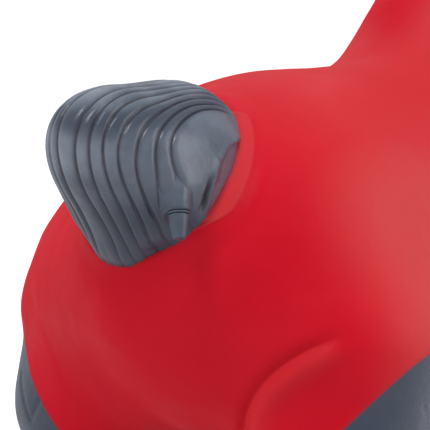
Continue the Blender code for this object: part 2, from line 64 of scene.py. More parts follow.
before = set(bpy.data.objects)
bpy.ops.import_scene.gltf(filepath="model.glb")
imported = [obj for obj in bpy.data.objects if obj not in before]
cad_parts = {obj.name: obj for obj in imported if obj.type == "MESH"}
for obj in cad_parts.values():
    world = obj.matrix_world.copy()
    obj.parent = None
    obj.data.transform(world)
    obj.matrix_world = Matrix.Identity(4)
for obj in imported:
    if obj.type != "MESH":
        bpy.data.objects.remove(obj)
CAD_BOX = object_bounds()
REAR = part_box("trunk")[0].x
UP = (0.0, 0.0, 1.0)
LEFT = (0.0, 1.0, 0.0)
CORNERS = ("hind_left", "hind_right", "front_left", "front_right")


# Settings


def length(text, size):
    """A length that a user may change."""
    return FloatProperty(description=text, default=size, unit="LENGTH", precision=4)


def lengths(text, *sizes):
    """A few lengths that belong together."""
    return FloatVectorProperty(description=text, default=sizes, size=len(sizes), unit="LENGTH", precision=4)


def section(*sizes):
    """One section of a swelling form."""
    return lengths("Place along the form, width and depth", *sizes)


def roundings(*sizes):
    """The two rounded ends of a swelling form."""
    return lengths("How long each end takes to close", *sizes)


def angle(text, degrees):
    """An angle that a user may change."""
    return FloatProperty(description=text, default=math.radians(degrees), subtype="ANGLE")


def share(text, part):
    """A part of a whole, from 0 to 1."""
    return FloatProperty(description=text, default=part, min=0, max=1, subtype="FACTOR")


def colour(text, *rgb):
    """A colour that a user may change."""
    return FloatVectorProperty(description=text, default=(*rgb, 1.0), size=4, min=0, max=1, subtype="COLOR")


class HopperBody(bpy.types.PropertyGroup):
    """Sizes of the trunk, the neck, the head and the ears."""

    body_length: length("From the rump's end to the chest's end", 0.400)
    rump: lengths("Place along the body, width, depth and middle height", 0.120, 0.259, 0.247, 0.1435)
    waist: lengths("Place along the body, width, depth and middle height", 0.232, 0.219, 0.229, 0.144)
    chest: lengths("Place along the body, width, depth and middle height", 0.320, 0.220, 0.216, 0.152)
    body_roundings: roundings(0.170, 0.172)
    neck_root: lengths("Setback from the chest's end, and height", 0.091, 0.190)
    neck_length: length("Along the neck's own axis", 0.232)
    neck_lean: angle("Forward lean of the neck from upright", 32)
    neck_foot: section(0.0, 0.176, 0.171)
    neck_middle: section(0.097, 0.128, 0.127)
    neck_upper: section(0.180, 0.108, 0.120)
    neck_top: section(0.232, 0.104, 0.116)
    neck_roundings: roundings(0.080, 0.054)
    head_droop: angle("How far the muzzle points below level", 38)
    head_seat: lengths("Overhang behind the neck's top, and rise over it", 0.044, 0.046)
    skull: section(0.0, 0.104, 0.106)
    brow: section(0.066, 0.130, 0.134)
    nose: section(0.132, 0.100, 0.102)
    muzzle: section(0.174, 0.104, 0.096)
    chin: section(0.208, 0.092, 0.084)
    head_roundings: roundings(0.064, 0.052)
    ear_seat: lengths("Place along the head, spread from the middle, and sink", 0.044, 0.036, 0.026)
    ear_splay: angle("Outward lean of the ears", 24)
    ear_tilt: angle("Backward lean of the ears", 6)
    ear_root: section(0.0, 0.040, 0.036)
    ear_belly: section(0.048, 0.048, 0.038)
    ear_tip: section(0.096, 0.034, 0.028)
    ear_roundings: roundings(0.020, 0.030)
    net_step: length("Spacing of the skin's points", 0.0028)


class HopperLegs(bpy.types.PropertyGroup):
    """Sizes of the legs and their painted socks."""

    hip: lengths("Setback from the rump's end, distance from the middle, and height", 0.128, 0.071, 0.1865)
    hind_foot: lengths("Setback from the rump's end, and distance from the middle", 0.0715, 0.108)
    hind_sizes: lengths("Across hip, thigh, shank and foot", 0.120, 0.143, 0.120, 0.114)
    shoulder: lengths("Setback from the chest, distance from the middle, height", 0.102, 0.058, 0.172)
    fore_foot: lengths("Setback from the chest's end, and distance from the middle", 0.050, 0.098)
    fore_sizes: lengths("Across shoulder, forearm, shank and foot", 0.112, 0.124, 0.108, 0.092)
    undercut: length("How far the leg's axis runs below the floor", 0.016)
    crease: lengths("Softness of the fold between trunk and leg, on the right and on the left", 0.024, 0.046)
    sock_place: share("Where the sock begins along the leg", 0.62)
    sock_slant: FloatVectorProperty(description="Direction across the sock's upper edge", default=(-0.25, 1.25, -1.0))
    right_turn: FloatProperty(description="Turn of the right hind sock's edge", default=0.45)
    sock_drop: lengths("How far the socks' edges lie below that place, on the right and on the left", 0.0124, 0.0158)
    sole_edge: length("Rounding of the sole's edge", 0.004)
    fold_centre: lengths("Setback, side and height of the ball that the thigh's fold follows", 0.0887, 0.1286, 0.0667)
    fold_reach: length("Radius of that ball", 0.0777)
    fold_roll: lengths("Height, crest and width of the roll beside the fold", 0.0030, 0.005, 0.016)
    fold_groove: lengths("Depth and half width of the groove in the fold", 0.0022, 0.0026)
    left_fold: share("How much of the fold shows on the left thigh", 0.12)
    left_spots: lengths("Fuller or flatter spots: setback, side, height, rise and width of each", 0.061, 0.131, 0.138,
                        -0.0019, 0.016, 0.0535, 0.130, 0.107, 0.0039, 0.019, 0.0435, 0.1285, 0.042, 0.0024, 0.022)
    rear_mark: lengths("Three points of a V: setback, side and height of each", 0.045, 0.122, 0.066, 0.037, 0.1075,
                       0.039, 0.0357, 0.0982, 0.0546)
    side_mark: lengths("Three points of a V: setback, side and height of each", 0.1065, 0.1526, 0.0869, 0.1243,
                       0.1475, 0.0672, 0.1360, 0.1430, 0.0820)
    mark_cut: lengths("Depth and half width of the hoof marks", 0.0013, 0.0015)
    net_step: length("Spacing of the feet's points", 0.0016)


class HopperHair(bpy.types.PropertyGroup):
    """Sizes of the moulded tail, mane and forelock."""

    tail_length: length("From the hidden root to the tip", 0.143)
    tail_pitch: angle("Rise of the tail's axis towards the back", 30.25)
    tail_root: lengths("Inset from the rump's end, and height", 0.087, 0.1895)
    tail_foot: section(0.0, 0.068, 0.108)
    tail_belly: section(0.054, 0.1075, 0.1215)
    tail_end: section(0.108, 0.105, 0.098)
    tail_roundings: roundings(0.034, 0.0945)
    welt: lengths("Radius of the roll round the tail's root, and its blend", 0.0080, 0.010)
    rib_pitch: length("Distance from one hair rib to the next, along the surface", 0.00807)
    rib_middle: length("Half width of the broad middle rib, along the surface", 0.0077)
    rib_depth: length("Depth of the grooves between the ribs", 0.0021)
    rib_reach: length("Half of the width that is ribbed, along the surface", 0.0605)
    rib_gather: share("How much the ribs draw together towards the back", 0.27)
    flank_setback: lengths("Of the fold on each flank, at six heights", 0.0210, 0.0238, 0.0290, 0.0344, 0.0451, 0.075)
    flank_height: lengths("The heights that go with the setbacks", 0.2075, 0.217, 0.2255, 0.234, 0.2406, 0.2432)
    flank_depth: length("Depth of the fold's slit", 0.0032)
    tail_spots: lengths("Fuller or flatter spots: setback, side, height, rise and width of each", 0.001, 0.006, 0.173,
                        0.0026, 0.013, 0.008, 0.028, 0.179, -0.0026, 0.012, 0.024, 0.050, 0.203, 0.0016, 0.016)
    rings: IntProperty(description="Rings of points across the tail", default=300)
    sides: IntProperty(description="Points round each ring", default=160)
    mane_start: length("Where the mane begins along the neck", 0.122)
    mane_overrun: length("How far the mane runs past the skull's back", 0.016)
    mane_tip: lengths("Width and depth at the lower end", 0.022, 0.030)
    mane_crest: lengths("Width, depth and lift of the crest", 0.046, 0.050, 0.008)
    mane_rounding: length("How long the mane takes to close at each end", 0.040)
    lock_start: length("Where the forelock begins along the head", 0.044)
    lock_length: length("Along the brow", 0.070)
    lock_root: lengths("Width and depth", 0.046, 0.030)
    lock_tip: lengths("Width and depth", 0.016, 0.014)
    lock_roundings: roundings(0.022, 0.028)


class HopperValve(bpy.types.PropertyGroup):
    """Sizes of the air valve on the tail's right flank."""

    place: length("Where the valve sits along the tail", 0.084)
    turn: angle("Where the valve sits round the tail", 160)
    lean: FloatVectorProperty(description="Direction it points in", default=(-0.38, -0.42, -1.0))
    reach: length("How far the outlet stands off the tail", 0.009)
    boss: lengths("Radius at the outlet, radius at the root, and height", 0.0080, 0.0058, 0.018)
    sleeve: lengths("Outer radius, bore radius, length, flange radius and flange", 0.0048, 0.0031, 0.013, 0.0068,
                    0.0012)
    nub: lengths("Radius at the flange, at the tip, length and edge rounding", 0.0063, 0.0038, 0.0144, 0.0014)
    shank: lengths("Radius, tip radius and length", 0.0028, 0.0024, 0.011)
    flow: length("How softly the boss flows out of the tail", 0.009)
    swelling: lengths("Setback, rise and width of the tail's swelling behind the valve", 0.004, 0.0042, 0.015)
    gap: length("Between pieces that touch", 0.0003)


class HopperFinish(bpy.types.PropertyGroup):
    """Colours and surface of the vinyl and the sprayed paint."""

    red: colour("Colour of the skin", 0.70, 0.0042, 0.0205)
    # Painted sheen: the paler red that stands in for the vinyl's reflections over the body, on the flanks, at the
    # tail's collar, on the thigh's roll and in random patches.
    rubbed_red: colour("Colour of the skin that riders have rubbed pale", 0.70, 0.058, 0.060)
    # Painted shade: the darker red just outside the thigh's fold line.
    fold_red: colour("Colour beside the fold of the thigh", 0.54, 0.001, 0.010)
    deep_red: colour("Colour of the skin's darker clouds", 0.63, 0.0032, 0.0170)
    grey: colour("Colour of the sprayed hair and socks", 0.036, 0.049, 0.082)
    # The paler grey, mixed in as painted sheen by height on the tail, the boss and the mane, and in random clouds on
    # the valve's pieces.
    pale_grey: colour("Colour of thin or rubbed paint", 0.245, 0.285, 0.355)
    # Near black with a red tinge: the red showing through, and painted shade in the ribs' grooves and the flanks'
    # slits.
    groove_grey: colour("Colour in the grooves, where red shows through", 0.030, 0.014, 0.024)
    sheer_grey: colour("Colour of paint so thin that the red shows through", 0.150, 0.060, 0.100)
    eye_black: colour("Colour of the painted pupil", 0.006, 0.006, 0.007)
    eye_white: colour("Colour of the painted eye", 0.75, 0.74, 0.72)
    red_gloss: share("Roughness of the vinyl", 0.43)
    grey_gloss: share("Roughness of the paint", 0.23)
    red_specular: share("Strength of the vinyl's reflections", 0.10)
    grey_specular: share("Strength of the paint's reflections", 0.30)


class HopperStage(bpy.types.PropertyGroup):
    """Camera, lamps and floor."""

    aim: lengths("What the camera looks at: distance from the rump's end, side and height", 0.05248, -0.03476,
                 0.19612)
    turn: angle("Turn of the camera round the pony, from straight behind", 40.97)
    rise: angle("Angle of the camera over the horizon", 13.69)
    distance: length("From the camera to its aim", 1.3)
    framed: length("Width of the view at the aim", 0.258)
    floor_size: length("Side of the square floor", 12.0)
    floor_colour: colour("Colour of the pale floor", 0.75, 0.75, 0.75)
    floor_glow: share("How much the floor glows for the camera", 0.56)
    daylight: share("Strength of the light from all round", 0.53)


# Forms


def smooth_curve(x, y, places):
    """Values at the places of a smooth curve through the points x, y that never overshoots them."""
    rise = np.diff(y) / np.diff(x)
    slope = np.concatenate([rise[:1], np.zeros(len(x) - 2), rise[-1:]])
    for i in range(1, len(x) - 1):
        if rise[i - 1] * rise[i] > 0:
            slope[i] = 2 * rise[i - 1] * rise[i] / (rise[i - 1] + rise[i])
    places = np.clip(places, x[0], x[-1])
    i = np.clip(np.searchsorted(x, places) - 1, 0, len(x) - 2)
    step = x[i + 1] - x[i]
    s = (places - x[i]) / step
    square = s * s
    late = square * (3 - 2 * s)
    bend = (s - 1) * step * (s * (s - 1) * slope[i] + square * slope[i + 1])
    return y[i] + late * (y[i + 1] - y[i]) + bend


def unit(v):
    v = np.array(v, float)
    return v / np.linalg.norm(v)


def eased(value, low, high):
    """0 up to low, 1 from high on and smooth between them."""
    s = np.clip((value - low) / (high - low), 0, 1)
    return s * s * (3 - 2 * s)


def bell(value, width):
    """1 at 0, and less with the distance from it."""
    return np.exp(-((value / width) ** 2))


def joined(a, b, blend):
    """The distance to two bodies that run into each other over a blend."""
    near = np.maximum(blend - np.abs(a - b), 0) / blend
    return np.minimum(a, b) - near * near * blend / 4


def carved(a, b, blend):
    """The distance to body a after body b is taken away."""
    return -joined(-a, b, blend)


class Swell:
    """A swelling body: oval sections along a straight axis, closed by a rounded end at each side.

    Each station is (place along the axis, width, depth, shift), with the shift from the axis along the depth.
    """

    def __init__(self, start, axis, stations, roundings, across=LEFT):
        self.start = np.array(start, float)
        self.axis = unit(axis)
        across = np.array(across, float)
        self.across = unit(across - self.axis * (across @ self.axis))
        self.deep = np.cross(self.axis, self.across)
        self.stations = np.array([(*station, 0.0)[:4] for station in stations], float)
        self.length = self.stations[-1, 0]
        self.roundings = tuple(roundings)
        self.middle = self.axis * self.length / 2
        self.reach = math.hypot(self.length / 2, self.stations[:, 1:3].max() / 2 + self.stations[:, 3].max())

    def sizes(self, place):
        """Half width, half depth and shift at places along the axis."""
        rows = self.stations
        width, depth, shift = (smooth_curve(rows[:, 0], rows[:, column], place) for column in (1, 2, 3))
        return width / 2, depth / 2, shift

    def at(self, place, turn):
        """The surface points at places along the axis and angles round it, from across towards deep."""
        place, turn = np.atleast_1d(place), np.atleast_1d(turn)
        half_width, half_depth, shift = self.sizes(place)
        first, last = self.roundings
        ending = np.maximum(0, np.maximum((first - place) / first, (place - self.length + last) / last))
        drawn = np.sqrt(np.maximum(0, 1 - ending**2))
        across = (half_width * drawn * np.cos(turn))[:, None] * self.across
        deep = (half_depth * drawn * np.sin(turn) + shift)[:, None] * self.deep
        return self.start + place[:, None] * self.axis + across + deep

    def distance(self, points):
        """About how far the points lie outside the surface, and less than 0 inside it."""
        offset = points - self.start
        away = np.linalg.norm(offset - self.middle, axis=1) - self.reach
        near = away < 0.06
        away[near] = self.near_distance(offset[near])
        return away

    def near_distance(self, offset):
        """The distance for points that aren't far from the body, as offsets from its start."""
        place = offset @ self.axis
        half_width, half_depth, shift = self.sizes(place)
        u = offset @ self.across
        v = offset @ self.deep - shift
        first, last = self.roundings
        into_first, into_last = (first - place) / first, (place - self.length + last) / last
        ending = np.maximum(0, np.maximum(into_first, into_last))
        rounding = np.where(into_first > into_last, first, last)
        scaled = np.sqrt((u / half_width) ** 2 + (v / half_depth) ** 2 + ending**2)
        slope = np.sqrt((u / half_width**2) ** 2 + (v / half_depth**2) ** 2 + (ending / rounding) ** 2)
        deep_inside = -np.minimum(half_width, half_depth)
        return np.where(scaled < 1e-3, deep_inside, scaled * (scaled - 1) / np.maximum(slope, 1e-3))


def leaning(turn, towards=1):
    """A direction in the animal's middle plane, at an angle from straight up."""
    return np.array((towards * math.sin(turn), 0.0, math.cos(turn)))


def leg(top, foot, sizes):
    """A left leg with its four sizes from hip or shoulder to foot."""
    reach = np.linalg.norm(foot - top)
    places = np.array((0, 0.35, 0.60, 0.80, 1)) * reach
    stations = [(place, size, size) for place, size in zip(places, (*sizes, sizes[-1]))]
    return Swell(top, foot - top, stations, (0.40 * reach, 0.36 * reach))


def shapes(scene):
    """All the forms of the pony, from the settings."""
    body, legs, hair = scene.hopper_body, scene.hopper_legs, scene.hopper_hair
    rump, chest = body.rump, body.chest
    middle = rump[3]
    stations = [(0.0, rump[1], rump[2])]
    stations += [(*station[:3], station[3] - middle) for station in (rump, body.waist, chest)]
    stations.append((body.body_length, chest[1], chest[2], chest[3] - middle))
    trunk = Swell((REAR, 0, middle), (1, 0, 0), stations, body.body_roundings)
    chest_end = REAR + body.body_length
    neck = Swell(
        (chest_end - body.neck_root[0], 0, body.neck_root[1]),
        leaning(body.neck_lean),
        (body.neck_foot, body.neck_middle, body.neck_upper, body.neck_top),
        body.neck_roundings,
    )
    overhang, rise = body.head_seat
    head = Swell(
        neck.start + neck.axis * body.neck_length + np.array((-overhang, 0, rise)),
        leaning(math.pi / 2 + body.head_droop),
        (body.skull, body.brow, body.nose, body.muzzle, body.chin),
        body.head_roundings,
    )
    place, spread, sink = body.ear_seat
    ear_axis = unit((-math.sin(body.ear_tilt), math.sin(body.ear_splay), math.cos(body.ear_splay)))
    crown = head.at(place, math.acos(spread / (body.brow[1] / 2)))[0]
    ear = Swell(
        crown - ear_axis * sink,
        ear_axis,
        (body.ear_root, body.ear_belly, body.ear_tip),
        body.ear_roundings,
        across=(1, 0, 0),
    )
    hind = leg(
        np.array((REAR + legs.hip[0], legs.hip[1], legs.hip[2])),
        np.array((REAR + legs.hind_foot[0], legs.hind_foot[1], -legs.undercut)),
        legs.hind_sizes,
    )
    fore = leg(
        np.array((chest_end - legs.shoulder[0], legs.shoulder[1], legs.shoulder[2])),
        np.array((chest_end - legs.fore_foot[0], legs.fore_foot[1], -legs.undercut)),
        legs.fore_sizes,
    )
    tail = Swell(
        (REAR + hair.tail_root[0], 0, hair.tail_root[1]),
        leaning(math.pi / 2 - hair.tail_pitch, towards=-1),
        (hair.tail_foot, hair.tail_belly, hair.tail_end, (hair.tail_length, *hair.tail_end[1:])),
        hair.tail_roundings,
    )
    low = neck.at(hair.mane_start, math.pi / 2)[0]
    high = head.at(body.head_roundings[0] / 2, math.pi / 2)[0]
    reach = np.linalg.norm(high - low) + hair.mane_overrun
    stations = [(0.0, *hair.mane_tip), (reach / 2, *hair.mane_crest), (reach, *hair.mane_crest)]
    mane = Swell(low, high - low, stations, (hair.mane_rounding, hair.mane_rounding))
    high = head.at(hair.lock_start, math.pi / 2)[0]
    low = head.at(hair.lock_start + hair.lock_length, math.pi / 2)[0]
    stations = [(0.0, *hair.lock_root), (hair.lock_length, *hair.lock_tip)]
    lock = Swell(high, low - high, stations, hair.lock_roundings)
    return SimpleNamespace(
        trunk=trunk, neck=neck, head=head, ear=ear, hind=hind, fore=fore, tail=tail, mane=mane, lock=lock
    )


def mirrored(points):
    """The points with those of the right side laid onto the left."""
    return points * (1, 0, 1) + np.abs(points) * (0, 1, 0)


def ball(points, centre, radii):
    """About how far the points lie outside an oval ball."""
    offset = (points - centre) / radii
    reach = np.linalg.norm(offset, axis=1)
    return (reach - 1) * min(radii)


def line_distance(points, line):
    """How far the points lie from a line of straight stretches."""
    least = np.full(len(points), np.inf)
    for start, end in zip(line, line[1:]):
        along = end - start
        part = np.clip((points - start) @ along / max(along @ along, 1e-12), 0, 1)
        least = np.minimum(least, np.linalg.norm(points - start - part[:, None] * along, axis=1))
    return least


def spotted(points, spots):
    """How far a surface stands out at the points, from spots of (setback, side, height, rise, width)."""
    total = np.zeros(len(points))
    for *spot, rise, width in np.array(spots).reshape(-1, 5):
        total += rise * bell(np.linalg.norm(points - spot - (REAR, 0, 0), axis=1), width)
    return total


def ripple(points):
    """The slight unevenness of a blown vinyl skin."""
    x, y, z = points.T
    return (
        0.00034 * np.sin(41 * x + 23 * z + 0.6) * np.cos(37 * y - 19 * z)
        + 0.00020 * np.sin(83 * y + 61 * x + 1.9) * np.cos(71 * z - 29 * x)
        + 0.00010 * np.sin(171 * z + 97 * y) * np.cos(143 * x + 61 * z + 0.4)
    )


NECK_BLEND, HEAD_BLEND, EAR_BLEND = 0.040, 0.034, 0.012
EAR_HOLLOW, NOSTRIL = np.array((0.013, 0.011, 0.028)), np.array((0.008, 0.006, 0.006))
MOUTH_DEPTH, MOUTH_WIDTH, MOUTH_DROP, MOUTH_TILT = 0.0030, 0.0042, 0.019, 0.20


class Skin:
    """The vinyl skin as a field: the distance to it, and which side of a sock's painted edge a point lies on."""

    def __init__(self, scene):
        self.forms = shapes(scene)
        self.legs, self.hair, self.valve = scene.hopper_legs, scene.hopper_hair, scene.hopper_valve
        self.valve_root = self.forms.tail.at(self.valve.place, self.valve.turn)[0]
        self.marks = []
        for mark in (self.legs.rear_mark, self.legs.side_mark):
            corners = np.array(mark).reshape(3, 3) + (REAR, 0, 0)
            line = np.concatenate([np.linspace(a, b, 7) for a, b in zip(corners, corners[1:])])
            self.marks.append(drawn_to(self.plain, line, 8))

    def distance(self, points):
        """About how far the points lie outside the skin, with the marks pressed into its hooves."""
        value = self.plain(points)
        depth, width = self.legs.mark_cut
        near = np.flatnonzero((points[:, 2] < 0.10) & (points[:, 0] < REAR + 0.15) & (np.abs(value) < 0.01))
        half = mirrored(points[near])
        for line in self.marks:
            value[near] += depth * bell(line_distance(half, line), width)
        return value

    def plain(self, points):
        """The skin without the hoof marks."""
        forms, half = self.forms, mirrored(points)
        trunk = forms.trunk.distance(points)
        body = joined(trunk, forms.neck.distance(points), NECK_BLEND)
        body = joined(body, self.head(points, half), HEAD_BLEND)
        right, left = self.legs.crease
        crease = right + (left - right) * eased(points[:, 1], -0.02, 0.03)
        body = joined(body, forms.hind.distance(half), crease)
        body = joined(body, forms.fore.distance(half), right)
        fold = np.where(points[:, 1] < 0, 1.0, self.legs.left_fold)
        body = self.with_welt(body, trunk, points) - ripple(points) - self.thigh_fold(half, fold)
        body -= spotted(points, self.legs.left_spots)
        return -joined(-body, points[:, 2], self.legs.sole_edge)

    def head(self, points, half):
        """Head and ears, with the ears' hollows, the nostrils and the mouth."""
        head, ear = self.forms.head, self.forms.ear
        hollow = ear.start + ear.axis * 0.058 + ear.across * 0.027
        shell = carved(ear.distance(half), ball(half, hollow, EAR_HOLLOW), 0.008)
        body = joined(head.distance(points), shell, EAR_BLEND)
        nostril = head.at(head.length * 0.915, 0.95)[0]
        body = carved(body, ball(half, nostril, NOSTRIL), 0.006)
        offset = points - head.start
        place, deep = offset @ head.axis, offset @ head.deep
        height = deep + MOUTH_DROP - MOUTH_TILT * (place - head.length)
        front = eased(place, head.length - 0.046, head.length - 0.026)
        return body + MOUTH_DEPTH * front * bell(height, MOUTH_WIDTH)

    def with_welt(self, body, trunk, points):
        """The skin with a soft roll round the sides and the top of the tail's root."""
        radius, blend = self.hair.welt
        tail = self.forms.tail
        height = (points - tail.start) @ tail.deep
        thick = radius * (1 - eased(height, 0.020, 0.055)) + 0.0005
        roll = np.hypot(tail.distance(points), trunk) - thick
        return joined(body, roll, blend)

    def lobe(self, points):
        """The distance to the tail lobe, with its fuller and flatter spots and the swelling behind the valve."""
        value = self.forms.tail.distance(points) - spotted(mirrored(points), self.hair.tail_spots)
        behind, rise, width = self.valve.swelling
        away = np.linalg.norm(points - self.valve_root + unit(self.valve.lean) * behind, axis=1)
        return value - rise * bell(away, width)

    def thigh_fold(self, half, strength):
        """The fold behind each thigh: how far its roll stands out, and less than 0 in its groove."""
        inside, shown = self.fold_place(half)
        height, crest, width = self.legs.fold_roll
        depth, narrow = self.legs.fold_groove
        roll = height * eased(inside, 0, crest) * (1 - eased(inside, crest, width))
        groove = depth * bell(inside, narrow)
        return strength * shown * (roll - groove)

    def fold_place(self, half):
        """How far points lie inside the thigh's fold, and how much of the fold shows there."""
        offset = half - np.array(self.legs.fold_centre) - (REAR, 0, 0)
        inside = self.legs.fold_reach - np.linalg.norm(offset, axis=1)
        return inside, eased(-offset[:, 0], 0.028, 0.044) * eased(offset[:, 2], -0.030, 0.0)

    def sock_level(self, points):
        """Above 0 on the socks and below 0 on the rest, in about metres from the painted edge."""
        half = mirrored(points)
        levels = []
        right = points[:, 1] < 0
        turn, drop = np.where(right, self.legs.right_turn, 0), np.where(right, *self.legs.sock_drop)
        for form, forward, turn in ((self.forms.hind, 1, turn), (self.forms.fore, -1, 0)):
            slant = np.array(self.legs.sock_slant) * (forward, 1, 1)
            offset = half - form.start - form.axis * form.length * self.legs.sock_place
            level = (offset @ slant + offset[:, 0] * turn) / np.linalg.norm(slant) - drop
            levels.append(joined(level, 0.011 - form.distance(half), 0.004))
        return np.maximum(*levels)


# Meshes


def slope_of(field, points, value, step=0.0001):
    """The field's gradient at the points, where it has that value."""
    return np.stack([(field(points + aside) - value) / step for aside in np.eye(3) * step], 1)


def outward(field, points, value):
    """The directions straight out of the field at the points, where it has that value."""
    slope = slope_of(field, points, value)
    return slope / np.maximum(np.linalg.norm(slope, axis=1, keepdims=True), 1e-6)


def drawn_to(field, points, rounds=1):
    """The points moved onto the surface on which the field is 0."""
    for _ in range(rounds):
        value = field(points)
        slope = slope_of(field, points, value)
        over = value / np.maximum((slope * slope).sum(1), 0.1)
        points = points - np.clip(over[:, None] * slope, -0.003, 0.003)
    return points


def struck(field, start, spokes, reach):
    """Where spokes from the start, no longer than the reach, leave the body inside which the field is below 0."""
    near, far = np.zeros(len(spokes)), np.full(len(spokes), reach)
    for _ in range(32):
        half = (near + far) / 2
        held = field(start + spokes * half[:, None]) < 0
        near, far = np.where(held, half, near), np.where(held, far, half)
    return start + spokes * near[:, None]


def unpinch(value, rounds=6):
    """Opens the grid's squares with only two opposite corners inside, at which a net would touch itself."""
    for _ in range(rounds):
        for pair in ((0, 1), (1, 2), (2, 0)):
            view = np.moveaxis(value, pair, (0, 1))
            held = view < 0
            a, b, c, d = held[:-1, :-1], held[1:, :-1], held[:-1, 1:], held[1:, 1:]
            for i, j, k in np.argwhere((a == d) & (b == c) & (a != b)):
                corners = [(i, j, k), (i + 1, j, k), (i, j + 1, k), (i + 1, j + 1, k)]
                view[max((corner for corner in corners if view[corner] < 0), key=lambda corner: view[corner])] = 1e-7


def netted(field, low, high, step):
    """A net of quads over the surface on which the field is 0, its points about a step apart."""
    block = 4
    blocks = np.ceil((np.array(high) - low) / (step * block)).astype(int) + 1
    count = blocks * block
    lines = [low[axis] + step * np.arange(count[axis]) for axis in range(3)]
    middles = [line.reshape(-1, block).mean(1) for line in lines]
    rough = field(np.stack(np.meshgrid(*middles, indexing="ij"), -1).reshape(-1, 3)).reshape(blocks)
    value = rough.repeat(block, 0).repeat(block, 1).repeat(block, 2)
    near = np.argwhere(np.abs(value) < step * block * 1.6)
    value[tuple(near.T)] = field(np.array(low) + step * near)
    unpinch(value)
    inside = value < 0
    total = np.zeros((*(count - 1), 3))
    hits = np.zeros(count - 1, int)
    cells = (slice(0, -1), slice(1, None))
    for axis, b, c in product(range(3), (0, 1), (0, 1)):
        first, second = np.roll((0, b, c), axis), np.roll((1, b, c), axis)
        start, end = (value[tuple(cells[i] for i in corner)] for corner in (first, second))
        crossed = (start < 0) != (end < 0)
        part = np.where(crossed, start / np.where(crossed, start - end, 1), 0)
        for k in range(3):
            total[..., k] += np.where(crossed, part if k == axis else first[k], 0)
        hits += crossed
    used = np.argwhere(hits)
    number = np.full(count - 1, -1)
    number[tuple(used.T)] = np.arange(len(used))
    points = np.array(low) + step * (used + total[tuple(used.T)] / hits[tuple(used.T)][:, None])
    faces = []
    for axis in range(3):
        b, c = (axis + 1) % 3, (axis + 2) % 3
        start = inside.take(np.arange(count[axis] - 1), axis)
        end = inside.take(np.arange(1, count[axis]), axis)
        edge = np.argwhere(start != end)
        kept = (edge[:, [b, c]] > 0).all(1) & (edge[:, [b, c]] < count[[b, c]] - 1).all(1)
        edge = edge[kept]
        downs = [np.roll((0, *down), axis) for down in ((1, 1), (0, 1), (0, 0), (1, 0))]
        quad = np.stack([number[tuple((edge - down).T)] for down in downs], 1)
        leaving = start[tuple(edge.T)]
        quad[~leaving] = quad[~leaving][:, ::-1]
        faces.append(quad)
    return relaxed(field, points, np.concatenate(faces))


def relaxed(field, points, faces, rounds=3):
    """The net with its points evened out along the surface."""
    points = drawn_to(field, points)
    edges = np.concatenate([faces[:, [i, (i + 1) % 4]] for i in range(4)])
    edges = np.unique(np.sort(edges, 1), axis=0)
    beside = np.maximum(np.bincount(edges.ravel(), minlength=len(points)), 1)
    for _ in range(rounds):
        total = np.zeros_like(points)
        for k in range(3):
            total[:, k] = np.bincount(edges[:, 0], points[edges[:, 1], k], len(points))
            total[:, k] += np.bincount(edges[:, 1], points[edges[:, 0], k], len(points))
        points = points + 0.6 * (total / beside[:, None] - points)
        points = drawn_to(field, points)
    return drawn_to(field, points), faces


def parted(points, faces, level, above):
    """The points and faces of the net on one side of the line on which the level is 0."""
    sign = np.sign(level).astype(int)
    sign[np.abs(level) < 2e-5] = 0
    wanted = 1 if above else -1
    points, kept, cut = list(points), [], {}
    mixed = (sign[faces] > 0).any(1) & (sign[faces] < 0).any(1)
    whole = ~mixed & (sign[faces] * wanted >= 0).all(1)
    kept += [tuple(face) for face in faces[whole]]
    for face in faces[mixed]:
        shape = []
        for a, b in zip(face, np.roll(face, -1)):
            if sign[a] * wanted >= 0:
                shape.append(a)
            if sign[a] * sign[b] < 0:
                key = (min(a, b), max(a, b))
                if key not in cut:
                    part = level[a] / (level[a] - level[b])
                    cut[key] = len(points)
                    points.append(points[a] * (1 - part) + points[b] * part)
                shape.append(cut[key])
        if len(shape) > 2:
            kept.append(tuple(shape))
    used = sorted({i for face in kept for i in face})
    number = {old: new for new, old in enumerate(used)}
    return np.array([points[i] for i in used]), [tuple(number[i] for i in face) for face in kept]


def band_faces(sides, here, there):
    """Quads between two rings of points, from the number of each ring's first point."""
    pairs = zip(range(sides), [*range(1, sides), 0])
    return [(here + side, here + beside, there + beside, there + side) for side, beside in pairs]


def ring_faces(sides, rings):
    """Faces over rings of points between two poles, which are the first and the last point."""
    starts = range(1, sides * rings + 1, sides)
    faces = [face for here, there in zip(starts, starts[1:]) for face in band_faces(sides, here, there)]
    faces += [(0, beside, side) for side, beside, *_ in band_faces(sides, 1, 1)]
    return faces + [(side, beside, sides * rings + 1) for side, beside, *_ in band_faces(sides, starts[-1], 0)]


def linked(name, data, place=(0, 0, 0), facing=None):
    """A new object in the scene at a place, turned to look in the direction that it faces."""
    made = bpy.data.objects.new(name, data)
    made.location = place
    if facing is not None:
        made.rotation_euler = facing.to_track_quat("-Z", "Y").to_euler()
    bpy.context.scene.collection.objects.link(made)
    return made


